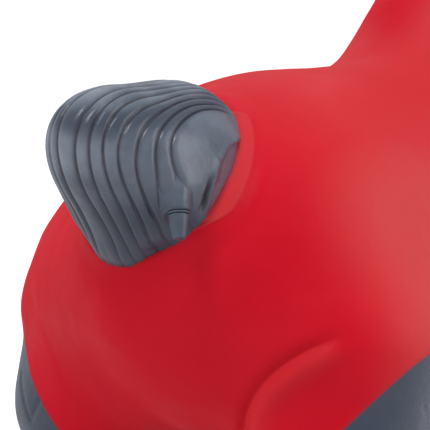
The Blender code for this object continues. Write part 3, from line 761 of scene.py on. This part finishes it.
def piece(name, points, faces, material, attributes=None):
    """A smooth object at the origin, with its open edges closed out of sight and its faces pointing outwards."""
    mesh = bpy.data.meshes.new(name)
    mesh.from_pydata(np.asarray(points).tolist(), [], [tuple(map(int, face)) for face in faces])
    for key, values in (attributes or {}).items():
        mesh.attributes.new(key, "FLOAT", "POINT").data.foreach_set("value", np.asarray(values, np.float32))
    shell = bmesh.new()
    shell.from_mesh(mesh)
    open_edges = [edge for edge in shell.edges if edge.is_boundary]
    if open_edges:
        filled = bmesh.ops.holes_fill(shell, edges=open_edges, sides=0)["faces"]
        for edge in open_edges:
            edge.smooth = False
        bmesh.ops.poke(shell, faces=filled)
    bmesh.ops.recalc_face_normals(shell, faces=shell.faces)
    for face in shell.faces:
        face.smooth = True
    if any(not edge.is_manifold for edge in shell.edges):
        raise RuntimeError(f"{name} isn't closed")
    shell.to_mesh(mesh)
    shell.free()
    mesh.materials.append(material)
    return linked(name, mesh)


def settle(made, body, slot, *nodes):
    """Ties a finished piece to its body and hides the nodes that it stands for; the slot, its finish, is not used."""
    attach(made, body)
    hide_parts(*nodes)


def wheel(sides, first, second):
    """Spokes all round from the first direction towards the second."""
    turns = np.arange(sides) * math.tau / sides
    return np.outer(np.cos(turns), first) + np.outer(np.sin(turns), second)


def turned(origin, axis, profile, bored=False, sides=64):
    """Points and faces of a round piece about an axis, from its (place, radius) profile, closed if it is bored."""
    aside = unit(np.cross(axis, LEFT))
    spokes = wheel(sides, aside, np.cross(axis, aside))
    rings = [origin + axis * place + spokes * radius for place, radius in profile]
    if bored:
        starts = [ring * sides for ring in range(len(rings))]
        pairs = zip(starts, [*starts[1:], 0])
        return np.concatenate(rings), [face for pair in pairs for face in band_faces(sides, *pair)]
    poles = [[origin + axis * place] for place, _ in (profile[0], profile[-1])]
    return np.concatenate([poles[0], *rings, poles[1]]), ring_faces(sides, len(rings))


def rounded(profile, radius, steps=5):
    """The profile with each inner corner replaced by an arc of up to that radius."""
    points = [np.array(point, float) for point in profile]
    made = [points[0]]
    for before, corner, after in zip(points, points[1:], points[2:]):
        back, on = before - corner, after - corner
        reach = min(radius, np.linalg.norm(back) * 0.45, np.linalg.norm(on) * 0.45)
        start, end = corner + unit(back) * reach, corner + unit(on) * reach
        for s in np.linspace(0, 1, steps):
            made.append((1 - s) ** 2 * start + 2 * s * (1 - s) * corner + s**2 * end)
    made.append(points[-1])
    return [tuple(point) for point in made]


def sunk_no_deeper(points, field, depth):
    """The points, with those far inside the field drawn back to about that depth under its surface."""
    value = field(points)
    deep = value < -depth
    points = points.copy()
    moved, goal = points[deep], 0.05 * (value[deep] + depth) - depth
    for _ in range(60):
        value = field(moved)
        moved = moved - np.clip(value - goal, -0.004, 0.004)[:, None] * outward(field, moved, value)
    points[deep] = moved
    return points


# Node trees


class Nodes:
    """A node tree, with a short way to each step that the finishes and the ribs take."""

    def __init__(self, tree):
        self.tree = tree
        self.link = tree.links.new

    def add(self, kind, inputs=None, **settings):
        """A node with its settings made and its inputs set or linked."""
        made = self.tree.nodes.new(kind)
        for key, value in settings.items():
            setattr(made, key, value)
        for key, value in (inputs or {}).items():
            if isinstance(value, bpy.types.NodeSocket):
                self.link(value, made.inputs[key])
            else:
                made.inputs[key].default_value = value
        return made

    def maths(self, operation, *values):
        """The result of one step of arithmetic."""
        return self.add("ShaderNodeMath", dict(enumerate(values)), operation=operation).outputs[0]

    def times(self, first, second):
        return self.maths("MULTIPLY", first, second)

    def most(self, *values):
        """The greatest of the values."""
        return reduce(partial(self.maths, "MAXIMUM"), values)

    def spread(self, value, low, high, start=0.0, end=1.0):
        """The value with the range from low to high laid onto that from start to end."""
        inputs = {"Value": value, "From Min": low, "From Max": high, "To Min": start, "To Max": end}
        return self.add("ShaderNodeMapRange", inputs).outputs["Result"]

    def background_rays(self):
        """1 for the rays that show the background, straight, mirrored or through glass, and 0 for the rest."""
        seen = self.add("ShaderNodeLightPath").outputs
        return self.most(seen["Is Camera Ray"], seen["Is Glossy Ray"], seen["Is Transmission Ray"])


class Finish(Nodes):
    """A new node material with its shader and Object coordinates."""

    def __init__(self, name):
        self.material = bpy.data.materials.new(name)
        self.material.use_nodes = True
        super().__init__(self.material.node_tree)
        self.shader = self.tree.nodes["Principled BSDF"]
        self.coordinates = self.add("ShaderNodeTexCoord").outputs["Object"]

    def mixed(self, factor, first, second):
        """The colour between two colours."""
        return self.add("ShaderNodeMix", {0: factor, 6: first, 7: second}, data_type="RGBA").outputs[2]

    def noise(self, scale, detail=2.0):
        """Soft noise from 0 to 1."""
        inputs = {"Vector": self.coordinates, "Scale": scale, "Detail": detail}
        return self.add("ShaderNodeTexNoise", inputs).outputs["Fac"]

    def attribute(self, name):
        return self.add("ShaderNodeAttribute", attribute_name=name).outputs["Fac"]

    def bump(self, rise, height, normal=None):
        """The normal with a relief of that height on it."""
        inputs = {"Height": rise, "Distance": height, "Strength": 1.0}
        if normal is not None:
            inputs["Normal"] = normal
        return self.add("ShaderNodeBump", inputs).outputs["Normal"]

    def grained(self, *layers):
        """A normal from layers of noise, each (scale, height)."""
        normal = None
        for scale, height in layers:
            normal = self.bump(self.noise(scale), height, normal)
        return normal

    def dulled(self, scale, least, greatest):
        """A clouded roughness, with more of it where the surface is seen at a glance."""
        gloss = self.spread(self.noise(scale, 3.0), 0.3, 0.7, least, greatest)
        facing = self.add("ShaderNodeLayerWeight", {"Blend": 0.5}).outputs["Facing"]
        return self.maths("ADD", gloss, self.times(self.maths("POWER", facing, 2.0), 0.35))

    def done(self, shade, roughness, normal=None, specular=0.5):
        """The material, once its shader has what it takes."""
        wanted = {"Base Color": shade, "Roughness": roughness, "Normal": normal}
        for key, value in wanted.items():
            if value is not None:
                self.link(value, self.shader.inputs[key])
        self.shader.inputs["Specular IOR Level"].default_value = specular
        return self.material


def red_vinyl(finish):
    """Satin red vinyl with soft clouds of depth, painted sheen over the body from behind the rump forward, stronger
    on the flanks, at the collar, on the thigh's roll and in random patches, painted shade beside the thigh's fold, a
    fine skin and grey overspray by the painted pieces.
    """
    nodes = Finish("hopper_red_vinyl")
    red = nodes.mixed(nodes.spread(nodes.noise(11.0, 3.0), 0.35, 0.68), finish.deep_red, finish.red)
    inside, folded, collar = (nodes.attribute(name) for name in ("inside", "folded", "collar"))
    # Painted sheen on the roll just inside the thigh's fold line.
    roll = nodes.times(nodes.spread(inside, 0.0, 0.0008), nodes.spread(inside, 0.006, 0.016, 0.22, 0.0))
    # Painted highlight along the collar round the tail's root.
    collar_sheen = nodes.spread(collar, 0.0064, 0.0078, 0.55, 0.0)
    # Painted sheen in random patches.
    patchy_sheen = nodes.spread(nodes.noise(9.0), 0.45, 0.75, 0.0, 0.08)
    # All the painted sheen, with that from the skin's marks, mixes the red towards the paler red.
    pale = nodes.most(nodes.times(roll, folded), collar_sheen, patchy_sheen, nodes.attribute("rubbed"))
    red = nodes.mixed(pale, red, finish.rubbed_red)
    # Painted shade just outside the thigh's fold line.
    beside = nodes.times(nodes.spread(inside, 0.0, 0.0008, 1.0, 0.0), nodes.spread(inside, -0.010, 0.0, 0.0, 0.6))
    red = nodes.mixed(nodes.times(beside, folded), red, finish.fold_red)
    speckle = nodes.spread(nodes.noise(420.0, 4.0), 0.30, 0.70, 0.85, 1.10)
    mist = nodes.maths("MINIMUM", nodes.times(nodes.attribute("overspray"), speckle), 1.0)
    off_ridge = nodes.maths("ABSOLUTE", nodes.maths("SUBTRACT", collar, 0.0062))
    grain = nodes.grained((46.0, 0.0009), (900.0, 0.00005))
    normal = nodes.bump(nodes.spread(off_ridge, 0.0, 0.0024, 1.0, 0.0), 0.0008, grain)
    rough = nodes.dulled(36.0, finish.red_gloss - 0.04, finish.red_gloss + 0.05)
    return nodes.done(nodes.mixed(mist, red, finish.grey), rough, normal, finish.red_specular)


def grey_paint(finish):
    """Satin grey sprayed on vinyl: paler on the rib crests as painted sheen, thin past each flank's fold where the
    red shows through, and dark with a red tinge in the grooves and the slits as painted shade.
    """
    nodes = Finish("hopper_grey_paint")
    groove = nodes.maths("POWER", nodes.attribute("groove"), 2.2)
    cloud = nodes.spread(nodes.noise(38.0, 3.0), 0.35, 0.75)
    # Painted sheen on the rib crests, by height from the tail's marks and in random clouds.
    crest = nodes.times(nodes.maths("SUBTRACT", 1.0, groove), nodes.spread(cloud, 0.0, 1.0, 0.35, 1.0))
    crest = nodes.times(crest, nodes.spread(nodes.attribute("pale"), 0.0, 1.0, 0.08, 1.0))
    speckle = nodes.spread(nodes.noise(300.0, 4.0), 0.25, 0.75, 0.6, 1.0)
    shade = nodes.mixed(crest, finish.grey, finish.pale_grey)
    # Painted shade in the grooves, with the red showing through.
    shade = nodes.mixed(nodes.times(groove, speckle), shade, finish.groove_grey)
    sheer = nodes.times(nodes.attribute("thin"), nodes.spread(cloud, 0.0, 1.0, 0.75, 1.0))
    shade = nodes.mixed(sheer, shade, finish.sheer_grey)
    # Painted shade in the flanks' slits.
    shade = nodes.mixed(nodes.attribute("slit"), shade, finish.groove_grey)
    rough = nodes.dulled(60.0, finish.grey_gloss - 0.04, finish.grey_gloss + 0.06)
    return nodes.done(shade, rough, nodes.grained((120.0, 0.0004), (1100.0, 0.00005)), finish.grey_specular)


def valve_vinyl(finish):
    """Smooth grey vinyl of the valve's own pieces."""
    nodes = Finish("hopper_valve_vinyl")
    cloud = nodes.noise(160.0, 3.0)
    shade = nodes.mixed(nodes.times(cloud, 0.31), finish.grey, finish.pale_grey)
    rough = nodes.spread(cloud, 0.3, 0.7, 0.30, 0.40)
    return nodes.done(shade, rough, nodes.grained((1300.0, 0.00004)), finish.grey_specular)


def eye_paint(finish):
    """Glossy painted eye: a dark pupil in a pale oval, with a small catchlight."""
    nodes = Finish("hopper_eye_paint")
    pupil = nodes.spread(nodes.attribute("iris"), 0.60, 0.64)
    shade = nodes.mixed(pupil, finish.eye_black, finish.eye_white)
    shade = nodes.mixed(nodes.spread(nodes.attribute("glint"), 0.15, 0.19), finish.eye_white, shade)
    return nodes.done(shade, nodes.spread(nodes.noise(200.0), 0.3, 0.7, 0.16, 0.24))


def finish_of(scene, make):
    """The material that a function makes, made once."""
    return bpy.data.materials.get(f"hopper_{make.__name__}") or make(scene.hopper_finish)


def rib_tree():
    """Hair ribs pressed into a surface: a groove at each pitch of the piece's own reach, where it is ribbed."""
    tree = bpy.data.node_groups.new("hair_ribs", "GeometryNodeTree")
    numbers = dict.fromkeys(("Pitch", "Depth", "Sharpness", "Shift"), "Float")
    for name, kind in {"Geometry": "Geometry", **numbers, "Material": "Material"}.items():
        tree.interface.new_socket(name=name, in_out="INPUT", socket_type=f"NodeSocket{kind}")
    tree.interface.new_socket(name="Geometry", in_out="OUTPUT", socket_type="NodeSocketGeometry")
    nodes = Nodes(tree)
    given = tree.nodes.new("NodeGroupInput").outputs
    reach, ribbed, sunk = (
        nodes.add("GeometryNodeInputNamedAttribute", {"Name": name}, data_type="FLOAT").outputs[0]
        for name in ("reach", "ribbed", "sunk")
    )
    count = nodes.maths("ADD", nodes.maths("DIVIDE", reach, given["Pitch"]), given["Shift"])
    saw = nodes.maths("SUBTRACT", nodes.times(nodes.maths("FRACT", count), 2.0), 1.0)
    groove = nodes.times(nodes.maths("POWER", nodes.maths("ABSOLUTE", saw), given["Sharpness"]), ribbed)
    sink = nodes.times(nodes.times(groove, sunk), nodes.times(given["Depth"], -1.0))
    normal = nodes.add("GeometryNodeInputNormal").outputs[0]
    offset = nodes.add("ShaderNodeVectorMath", {0: normal, "Scale": sink}, operation="SCALE").outputs["Vector"]
    stored = {"Geometry": given["Geometry"], "Name": "groove", "Value": groove}
    shape = nodes.add("GeometryNodeStoreNamedAttribute", stored, data_type="FLOAT", domain="POINT")
    steps = {
        "SetPosition": {"Offset": offset},
        "SetShadeSmooth": {},
        "RealizeInstances": {},
        "SetMaterial": {"Material": given["Material"]},
    }
    for kind, inputs in steps.items():
        shape = nodes.add(f"GeometryNode{kind}", {"Geometry": shape.outputs[0], **inputs})
    nodes.link(shape.outputs[0], tree.nodes.new("NodeGroupOutput").inputs[0])
    return tree


def ribbed(made, **inputs):
    """Presses hair ribs into a piece and leaves it as a plain mesh."""
    tree = bpy.data.node_groups.get("hair_ribs") or rib_tree()
    modifier = made.modifiers.new("hair_ribs", "NODES")
    modifier.node_group = tree
    wanted = {**{key.title(): value for key, value in inputs.items()}, "Material": made.data.materials[0]}
    for socket in tree.interface.items_tree:
        if socket.in_out == "INPUT" and socket.name in wanted:
            modifier[socket.identifier] = wanted[socket.name]
    bpy.context.view_layer.update()
    graph = bpy.context.evaluated_depsgraph_get()
    mesh = bpy.data.meshes.new_from_object(made.evaluated_get(graph))
    made.modifiers.remove(modifier)
    made.data = mesh


# Pieces


class Building:
    """What the operators that build pieces have in common."""

    def execute(self, context):
        self.build(context.scene, Skin(context.scene))
        return {"FINISHED"}


class HOPPER_OT_skin(Building, bpy.types.Operator):
    """Builds the red skin from rump to muzzle as one blown form, open to nothing"""

    bl_idname = "hopper.skin"
    bl_label = "Skin"

    def build(self, scene, skin):
        margin = 0.012
        low, high = np.array(CAD_BOX[0]) - margin, np.array(CAD_BOX[1]) + margin
        points, faces = netted(skin.distance, low, high, scene.hopper_body.net_step)
        points, faces = parted(points, faces, skin.sock_level(points), above=False)
        made = piece("skin", points, faces, finish_of(scene, red_vinyl), self.marks(skin, points))
        nodes = ["trunk", "neck", "head", "ear_left", "ear_right", "tail_welt"]
        settle(made, "skin", "red_vinyl", *nodes, *(f"leg_{corner}" for corner in CORNERS))

    def marks(self, skin, points):
        """Where the finish changes: by paint mist, the thigh's fold with its painted sheen and shade, the collar at
        the tail with its painted highlight, and painted sheen from behind the rump forward and on the flanks, kept
        off the neck's left side as painted shade.
        """
        setback, aside, height = points[:, 0] - REAR, np.abs(points[:, 1]), points[:, 2]
        tail = skin.lobe(points)
        flank = eased(aside, 0.014, 0.030)
        overspray = (1 - eased(tail, 0.0002, 0.0014)) * (0.05 + 0.15 * flank)
        edge = 1 - eased(-skin.sock_level(points), 0.0, 0.0025)
        inside, shown = skin.fold_place(mirrored(points))
        flank *= eased(aside, 0.020, 0.036) * eased(height, 0.190, 0.206)
        # Painted sheen: full on the flanks, about half strength from behind the rump forward; painted shade up the
        # neck's left side, where the sheen is taken off.
        side = eased(aside, 0.050, 0.115) * eased(setback, 0.055, 0.125)
        rubbed = np.maximum(0.52 * eased(setback, 0.045, 0.160), side)
        neck_shade = eased(height, 0.256, 0.286) * eased(points[:, 1], -0.030, 0.018)
        return {
            "overspray": np.maximum(overspray, 0.35 * edge),
            "inside": inside,
            "folded": shown * np.where(points[:, 1] < 0, 1, skin.legs.left_fold),
            "collar": tail + (1 - flank) * 0.01,
            "rubbed": rubbed * (1 - neck_shade),
        }


class HOPPER_OT_feet(Building, bpy.types.Operator):
    """Builds the four grey socks with their hooves, each to its painted edge"""

    bl_idname = "hopper.feet"
    bl_label = "Feet"

    def build(self, scene, skin):
        margin = 0.020
        for corner in CORNERS:
            node = f"hoof_{corner}"
            low, high = (np.array(end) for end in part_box(node))
            points, faces = netted(skin.distance, low - margin, high + margin, scene.hopper_legs.net_step)
            points, faces = parted(points, faces, skin.sock_level(points), above=True)
            made = piece(f"sock_{corner}", points, faces, finish_of(scene, grey_paint))
            settle(made, "skin", "grey_paint", node)


# The level of painted sheen where the paint isn't ribbed.
EVEN_SHEEN = 0.58


def paleness(points, ribs):
    """The tail's painted sheen and shade: full sheen at half height, painted shade at the foot and the shoulder with
    the crown lighter again and the sides less, and even where unribbed.
    """
    aside, height = np.abs(points[:, 1]), points[:, 2]
    shoulder = 0.95 * eased(height, 0.250, 0.262) - 0.8 * eased(height, 0.266, 0.272)
    plain = EVEN_SHEEN * eased(height, 0.186, 0.226)
    band = eased(height, 0.200, 0.242) * (1 - shoulder) * (1 - 0.45 * eased(aside, 0.026, 0.044))
    return plain + ribs * (band - plain)


class HOPPER_OT_tail(Building, bpy.types.Operator):
    """Builds the ribbed tail lobe with a smooth dome on each flank"""

    bl_idname = "hopper.tail"
    bl_label = "Tail"

    def build(self, scene, skin):
        hair, tail = scene.hopper_hair, skin.forms.tail
        sides, rings, pitch, wide = hair.sides, hair.rings, hair.rib_pitch, hair.rib_middle

        def spanned(values):
            """The values round one ring, over all the rings and the two poles."""
            return np.concatenate([[0], np.tile(values, rings), [0]])

        half_width = max(hair.tail_belly[1], hair.tail_end[1]) / 2
        middle = tail.start + tail.axis * hair.tail_belly[0]
        spokes = wheel(sides, tail.deep, tail.axis)
        rise = np.degrees(np.arctan2(spokes[:, 2], -spokes[:, 0]))
        drawn = hair.rib_gather * eased(rise, 15, 95) * (1 - eased(rise, 120, 175))
        sweep = np.linspace(-1, 1, rings + 2)[1:-1]
        first, last = (struck(tail.distance, middle, np.array([LEFT]) * end, hair.tail_length) for end in (-1, 1))
        shell = [first]
        for part in sweep:
            aside = last[0, 1] * math.sin(part * math.pi / 2) * (1 - drawn * (1 - part**8))
            shell.append(struck(tail.distance, middle + np.outer(aside, LEFT), spokes, hair.tail_length))
        points = drawn_to(skin.lobe, np.concatenate([*shell, last]), 4)
        around = half_width * math.pi / 2 * np.abs(np.concatenate([[-1], sweep.repeat(sides), [1]]))
        reach = around - wide
        reach = np.where(reach < 0, reach * pitch / (2 * wide), reach)
        waver = 0.0005 * np.sin(0.09 * spanned(rise) + 170 * around)
        ribs = 1 - eased(around, hair.rib_reach - 0.003, hair.rib_reach + 0.002)
        sunk = 0.25 + 0.75 * spanned(eased(rise, -52, -18))
        points, thin, slit = self.folded(hair, skin.lobe, points)
        points = sunk_no_deeper(points, skin.forms.trunk.distance, 0.004)
        marks = {"ribbed": ribs, "sunk": sunk, "reach": reach + waver, "thin": thin, "slit": slit}
        # Painted sheen and shade by height.
        marks["pale"] = paleness(points, ribs)
        made = piece("tail_lobe", points, ring_faces(sides, rings), finish_of(scene, grey_paint), marks)
        ribbed(made, pitch=pitch, depth=hair.rib_depth, sharpness=3.2, shift=0.0)
        settle(made, "skin", "grey_paint", "tail")

    def folded(self, hair, lobe, points):
        """The points with the fold pressed into each flank, where the paint past it is thin, and where it is open,
        which is painted in shade.
        """
        height = points[:, 2]
        beyond = points[:, 0] - REAR - np.interp(height, hair.flank_height, hair.flank_setback)
        flank = eased(np.abs(points[:, 1]), 0.030, 0.040)
        low, high = hair.flank_height[0], hair.flank_height[2]
        slit = bell(beyond, 0.0018) * np.exp(-(((2 * height - low - high) / (high - low)) ** 4))
        lip = bell(beyond - 0.0026, 0.0018) * eased(height, low - 0.004, low + 0.004)
        past = eased(beyond, 0.0036, 0.0056)
        sink = flank * (hair.flank_depth * slit - 0.0010 * lip + 0.0012 * past)
        return points - sink[:, None] * outward(lobe, points, lobe(points)), flank * past, flank * slit


class HOPPER_OT_mane(Building, bpy.types.Operator):
    """Builds the ribbed mane on the nape and the forelock on the brow"""

    bl_idname = "hopper.mane"
    bl_label = "Mane and forelock"

    def build(self, scene, skin):
        sides, rings = 96, 150
        turns = np.arange(sides) * math.tau / sides
        sweep = np.linspace(0, math.pi, rings + 2)[1:-1]
        mane, lock = skin.forms.mane, skin.forms.lock
        for name, form, across in (("mane", mane, mane.axis), ("forelock", lock, np.array(LEFT))):
            places = form.length * (1 - np.cos(sweep)) / 2
            shell = [form.at(np.full(sides, place), turns) for place in places]
            points = np.concatenate([[form.start], *shell, [form.start + form.axis * form.length]])
            points = sunk_no_deeper(points, skin.distance, 0.003)
            whole = np.ones(len(points))
            # An even painted sheen.
            marks = {"ribbed": whole, "sunk": whole, "reach": points @ across, "pale": EVEN_SHEEN * whole}
            made = piece(f"{name}_tuft", points, ring_faces(sides, rings), finish_of(scene, grey_paint), marks)
            ribbed(made, pitch=0.0085, depth=0.0016, sharpness=3.4, shift=0.5)
            settle(made, "skin", "grey_paint", name)


class HOPPER_OT_face(Building, bpy.types.Operator):
    """Builds the two painted eyes on the sides of the head"""

    bl_idname = "hopper.face"
    bl_label = "Face"

    def build(self, scene, skin):
        rings, sides = 14, 48
        half_width, half_height, rim, bulge, sink = 0.0125, 0.0165, 0.0004, 0.0016, 0.0012
        head = skin.forms.head
        for side, outward in (("left", 1), ("right", -1)):
            spot = drawn_to(skin.distance, head.at(0.092, 0.50) * (1, outward, 1), 6)
            normal = unit(slope_of(skin.distance, spot, 0.0)[0])
            along = unit(head.axis - normal * (head.axis @ normal))
            high = np.cross(normal, along) * outward
            oval = wheel(sides, half_width * along, half_height * high)
            catchlight = 0.30 * half_width * along + 0.36 * half_height * high
            front, back, iris, glint = [], [], [], []
            for ring in range(rings, 0, -1):
                reach = ring / rings
                flat = drawn_to(skin.distance, spot + oval * reach, 3)
                front.append(flat + normal * (rim + bulge * (1 - reach**2)))
                back.append(flat - normal * sink)
                iris.append(np.full(sides, reach))
                glint.append(np.linalg.norm(oval * reach - catchlight, axis=1) / half_height)
            points = np.concatenate([spot - normal * sink, *back[::-1], *front, spot + normal * (rim + bulge)])
            last = np.linalg.norm(catchlight) / half_height
            marks = {
                "iris": np.concatenate([[0], *iris[::-1], *iris, [0]]),
                "glint": np.concatenate([np.ones(1 + sides * rings), *glint, [last]]),
            }
            made = piece(f"eye_{side}", points, ring_faces(sides, 2 * rings), finish_of(scene, eye_paint), marks)
            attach(made, "skin")


class HOPPER_OT_valve(Building, bpy.types.Operator):
    """Builds the valve: a flared boss on the tail, its sleeve and the stopper that plugs it"""

    bl_idname = "hopper.valve"
    bl_label = "Valve"

    def build(self, scene, skin):
        valve = scene.hopper_valve
        axis, gap, flow = unit(valve.lean), valve.gap, valve.flow
        outlet = skin.valve_root + axis * valve.reach
        mouth, root, height = valve.boss
        outer, bore, depth, flange, lip = valve.sleeve

        def flared(points):
            """The distance to the boss, which flows out of the tail and is open as deep as the sleeve reaches."""
            offset = points - outlet
            place = offset @ axis
            radius = np.linalg.norm(offset - np.outer(place, axis), axis=1)
            cone = radius - mouth - (root - mouth) * np.clip(-place / height, 0, 1)
            cone += 0.8 * np.maximum(0, -place - depth)
            body = joined(skin.lobe(points) + 0.0020, -joined(-cone, -place, 0.002), flow)
            body = np.maximum(body, np.maximum(radius - mouth - flow, -height - flow - place))
            return np.maximum(body, np.minimum(outer + gap - radius, depth + gap + place))

        reach = np.full(3, height + mouth + flow)
        points, faces = netted(flared, outlet - reach, outlet + reach, 0.0008)
        # The boss has the tail's painted sheen and shade by height.
        made = piece("boss_flare", points, faces, finish_of(scene, grey_paint), {"pale": paleness(points, 1.0)})
        settle(made, "skin", "grey_paint", "valve_boss")
        face = gap + lip
        back = gap - depth
        profile = [(back, bore), (back, outer), (gap, outer), (gap, flange), (face, flange), (face, bore)]
        shape = turned(outlet, axis, rounded(profile, 0.0004), bored=True)
        made = piece("sleeve_tube", *shape, finish_of(scene, valve_vinyl))
        settle(made, "skin", "valve_vinyl", "valve_sleeve")
        nub, pole = face + gap, 0.0002
        wide, narrow, reach, edge = valve.nub
        shank, shank_tip, plug = valve.shank
        profile = [(nub - plug, pole), (nub - plug, shank_tip), (nub - plug * 0.8, shank), (nub, shank), (nub, wide)]
        profile += [(nub + reach * s, wide + (narrow - wide) * s**1.15) for s in np.linspace(0.1, 1, 10)]
        shape = turned(outlet, axis, rounded([*profile, (nub + reach, pole)], edge))
        made = piece("stopper_plug", *shape, finish_of(scene, valve_vinyl))
        settle(made, "stopper", "valve_vinyl", "valve_stopper")


# Stage


def lamp(name, place, aim, size, watts):
    """A soft lamp of a width and a height at a place, turned towards its aim."""
    data = bpy.data.lights.new(name, "AREA")
    data.shape, data.size, data.size_y, data.energy = "RECTANGLE", *size, watts
    linked(name, data, place, aim - place)


def floor_material(tint, glow):
    """A pale floor that the camera sees nearly white, with the pony's shadow on it."""
    nodes = Finish("floor")
    nodes.shader.inputs["Base Color"].default_value = tint
    nodes.shader.inputs["Roughness"].default_value = 0.9
    strength = nodes.times(nodes.background_rays(), glow)
    glow = nodes.add("ShaderNodeEmission", {"Color": (1, 1, 1, 1), "Strength": strength})
    both = nodes.add("ShaderNodeAddShader", {0: nodes.shader.outputs[0], 1: glow.outputs[0]})
    nodes.link(both.outputs[0], nodes.tree.nodes["Material Output"].inputs["Surface"])
    return nodes.material


class HOPPER_OT_stage(bpy.types.Operator):
    """Sets up the pale floor, the soft lamps, the white backdrop and the camera"""

    bl_idname = "hopper.stage"
    bl_label = "Studio"

    def execute(self, context):
        scene = context.scene
        stage = scene.hopper_stage
        half = stage.floor_size / 2
        mesh = bpy.data.meshes.new("floor")
        corners = [(-half, -half, 0), (half, -half, 0), (half, half, 0), (-half, half, 0)]
        mesh.from_pydata(corners, [], [(0, 1, 2, 3)])
        mesh.materials.append(floor_material(stage.floor_colour, stage.floor_glow))
        linked("floor", mesh)
        aim = Vector((REAR + stage.aim[0], stage.aim[1], stage.aim[2]))
        aside = Vector((math.sin(stage.turn), -math.cos(stage.turn), 0))
        behind = Vector((-math.cos(stage.turn), -math.sin(stage.turn), 0))
        high = Vector(UP)
        away = behind * math.cos(stage.rise) + high * math.sin(stage.rise)
        data = bpy.data.cameras.new("camera")
        data.lens = data.sensor_width * stage.distance / stage.framed
        scene.camera = linked("camera", data, aim + away * stage.distance, -away)
        lamp("key", aim + aside * 1.6 + behind * 0.25 + high * 0.55, aim, (0.6, 1.2), 7.5)
        lamp("top", aim + Vector((-0.6, 0.1, 1.45)), aim, (0.30, 0.75), 9)
        lamp("fill", aim - aside * 1.4 + behind * 1.0 + high * 0.7, aim, (1.8, 1.8), 3)
        scene.world = bpy.data.worlds.new("studio")
        scene.world.use_nodes = True
        nodes = Nodes(scene.world.node_tree)
        backdrop = nodes.tree.nodes["Background"].inputs
        backdrop["Color"].default_value = (1, 1, 1, 1)
        nodes.link(nodes.spread(nodes.background_rays(), 0.0, 1.0, stage.daylight, 1.0), backdrop["Strength"])
        scene.view_settings.view_transform = "Standard"
        return {"FINISHED"}


class HOPPER_PT_panel(bpy.types.Panel):
    """Lists the pony's pieces and settings in the sidebar"""

    bl_idname = "HOPPER_PT_panel"
    bl_label = "Pony hopper"
    bl_space_type = "VIEW_3D"
    bl_region_type = "UI"
    bl_category = "Hopper"

    def draw(self, context):
        for operator in OPERATORS:
            self.layout.operator(operator.bl_idname)
        for group in GROUPS:
            box = self.layout.box()
            settings = getattr(context.scene, group)
            for name in settings.__annotations__:
                box.prop(settings, name, text=name.replace("_", " ").capitalize())


OPERATORS = (
    HOPPER_OT_stage,
    HOPPER_OT_skin,
    HOPPER_OT_feet,
    HOPPER_OT_tail,
    HOPPER_OT_mane,
    HOPPER_OT_face,
    HOPPER_OT_valve,
)
GROUPS = {
    "hopper_body": HopperBody,
    "hopper_legs": HopperLegs,
    "hopper_hair": HopperHair,
    "hopper_valve": HopperValve,
    "hopper_finish": HopperFinish,
    "hopper_stage": HopperStage,
}


def register():
    for kind in (*GROUPS.values(), *OPERATORS, HOPPER_PT_panel):
        bpy.utils.register_class(kind)
    for name, kind in GROUPS.items():
        setattr(bpy.types.Scene, name, PointerProperty(type=kind))


def unregister():
    for name in GROUPS:
        delattr(bpy.types.Scene, name)
    for kind in (HOPPER_PT_panel, *reversed(OPERATORS), *reversed(GROUPS.values())):
        bpy.utils.unregister_class(kind)


def main():
    register()
    bpy.ops.hopper.stage()
    bpy.ops.hopper.skin()
    bpy.ops.hopper.feet()
    bpy.ops.hopper.tail()
    bpy.ops.hopper.mane()
    bpy.ops.hopper.face()
    bpy.ops.hopper.valve()


if __name__ == "__main__":
    main()
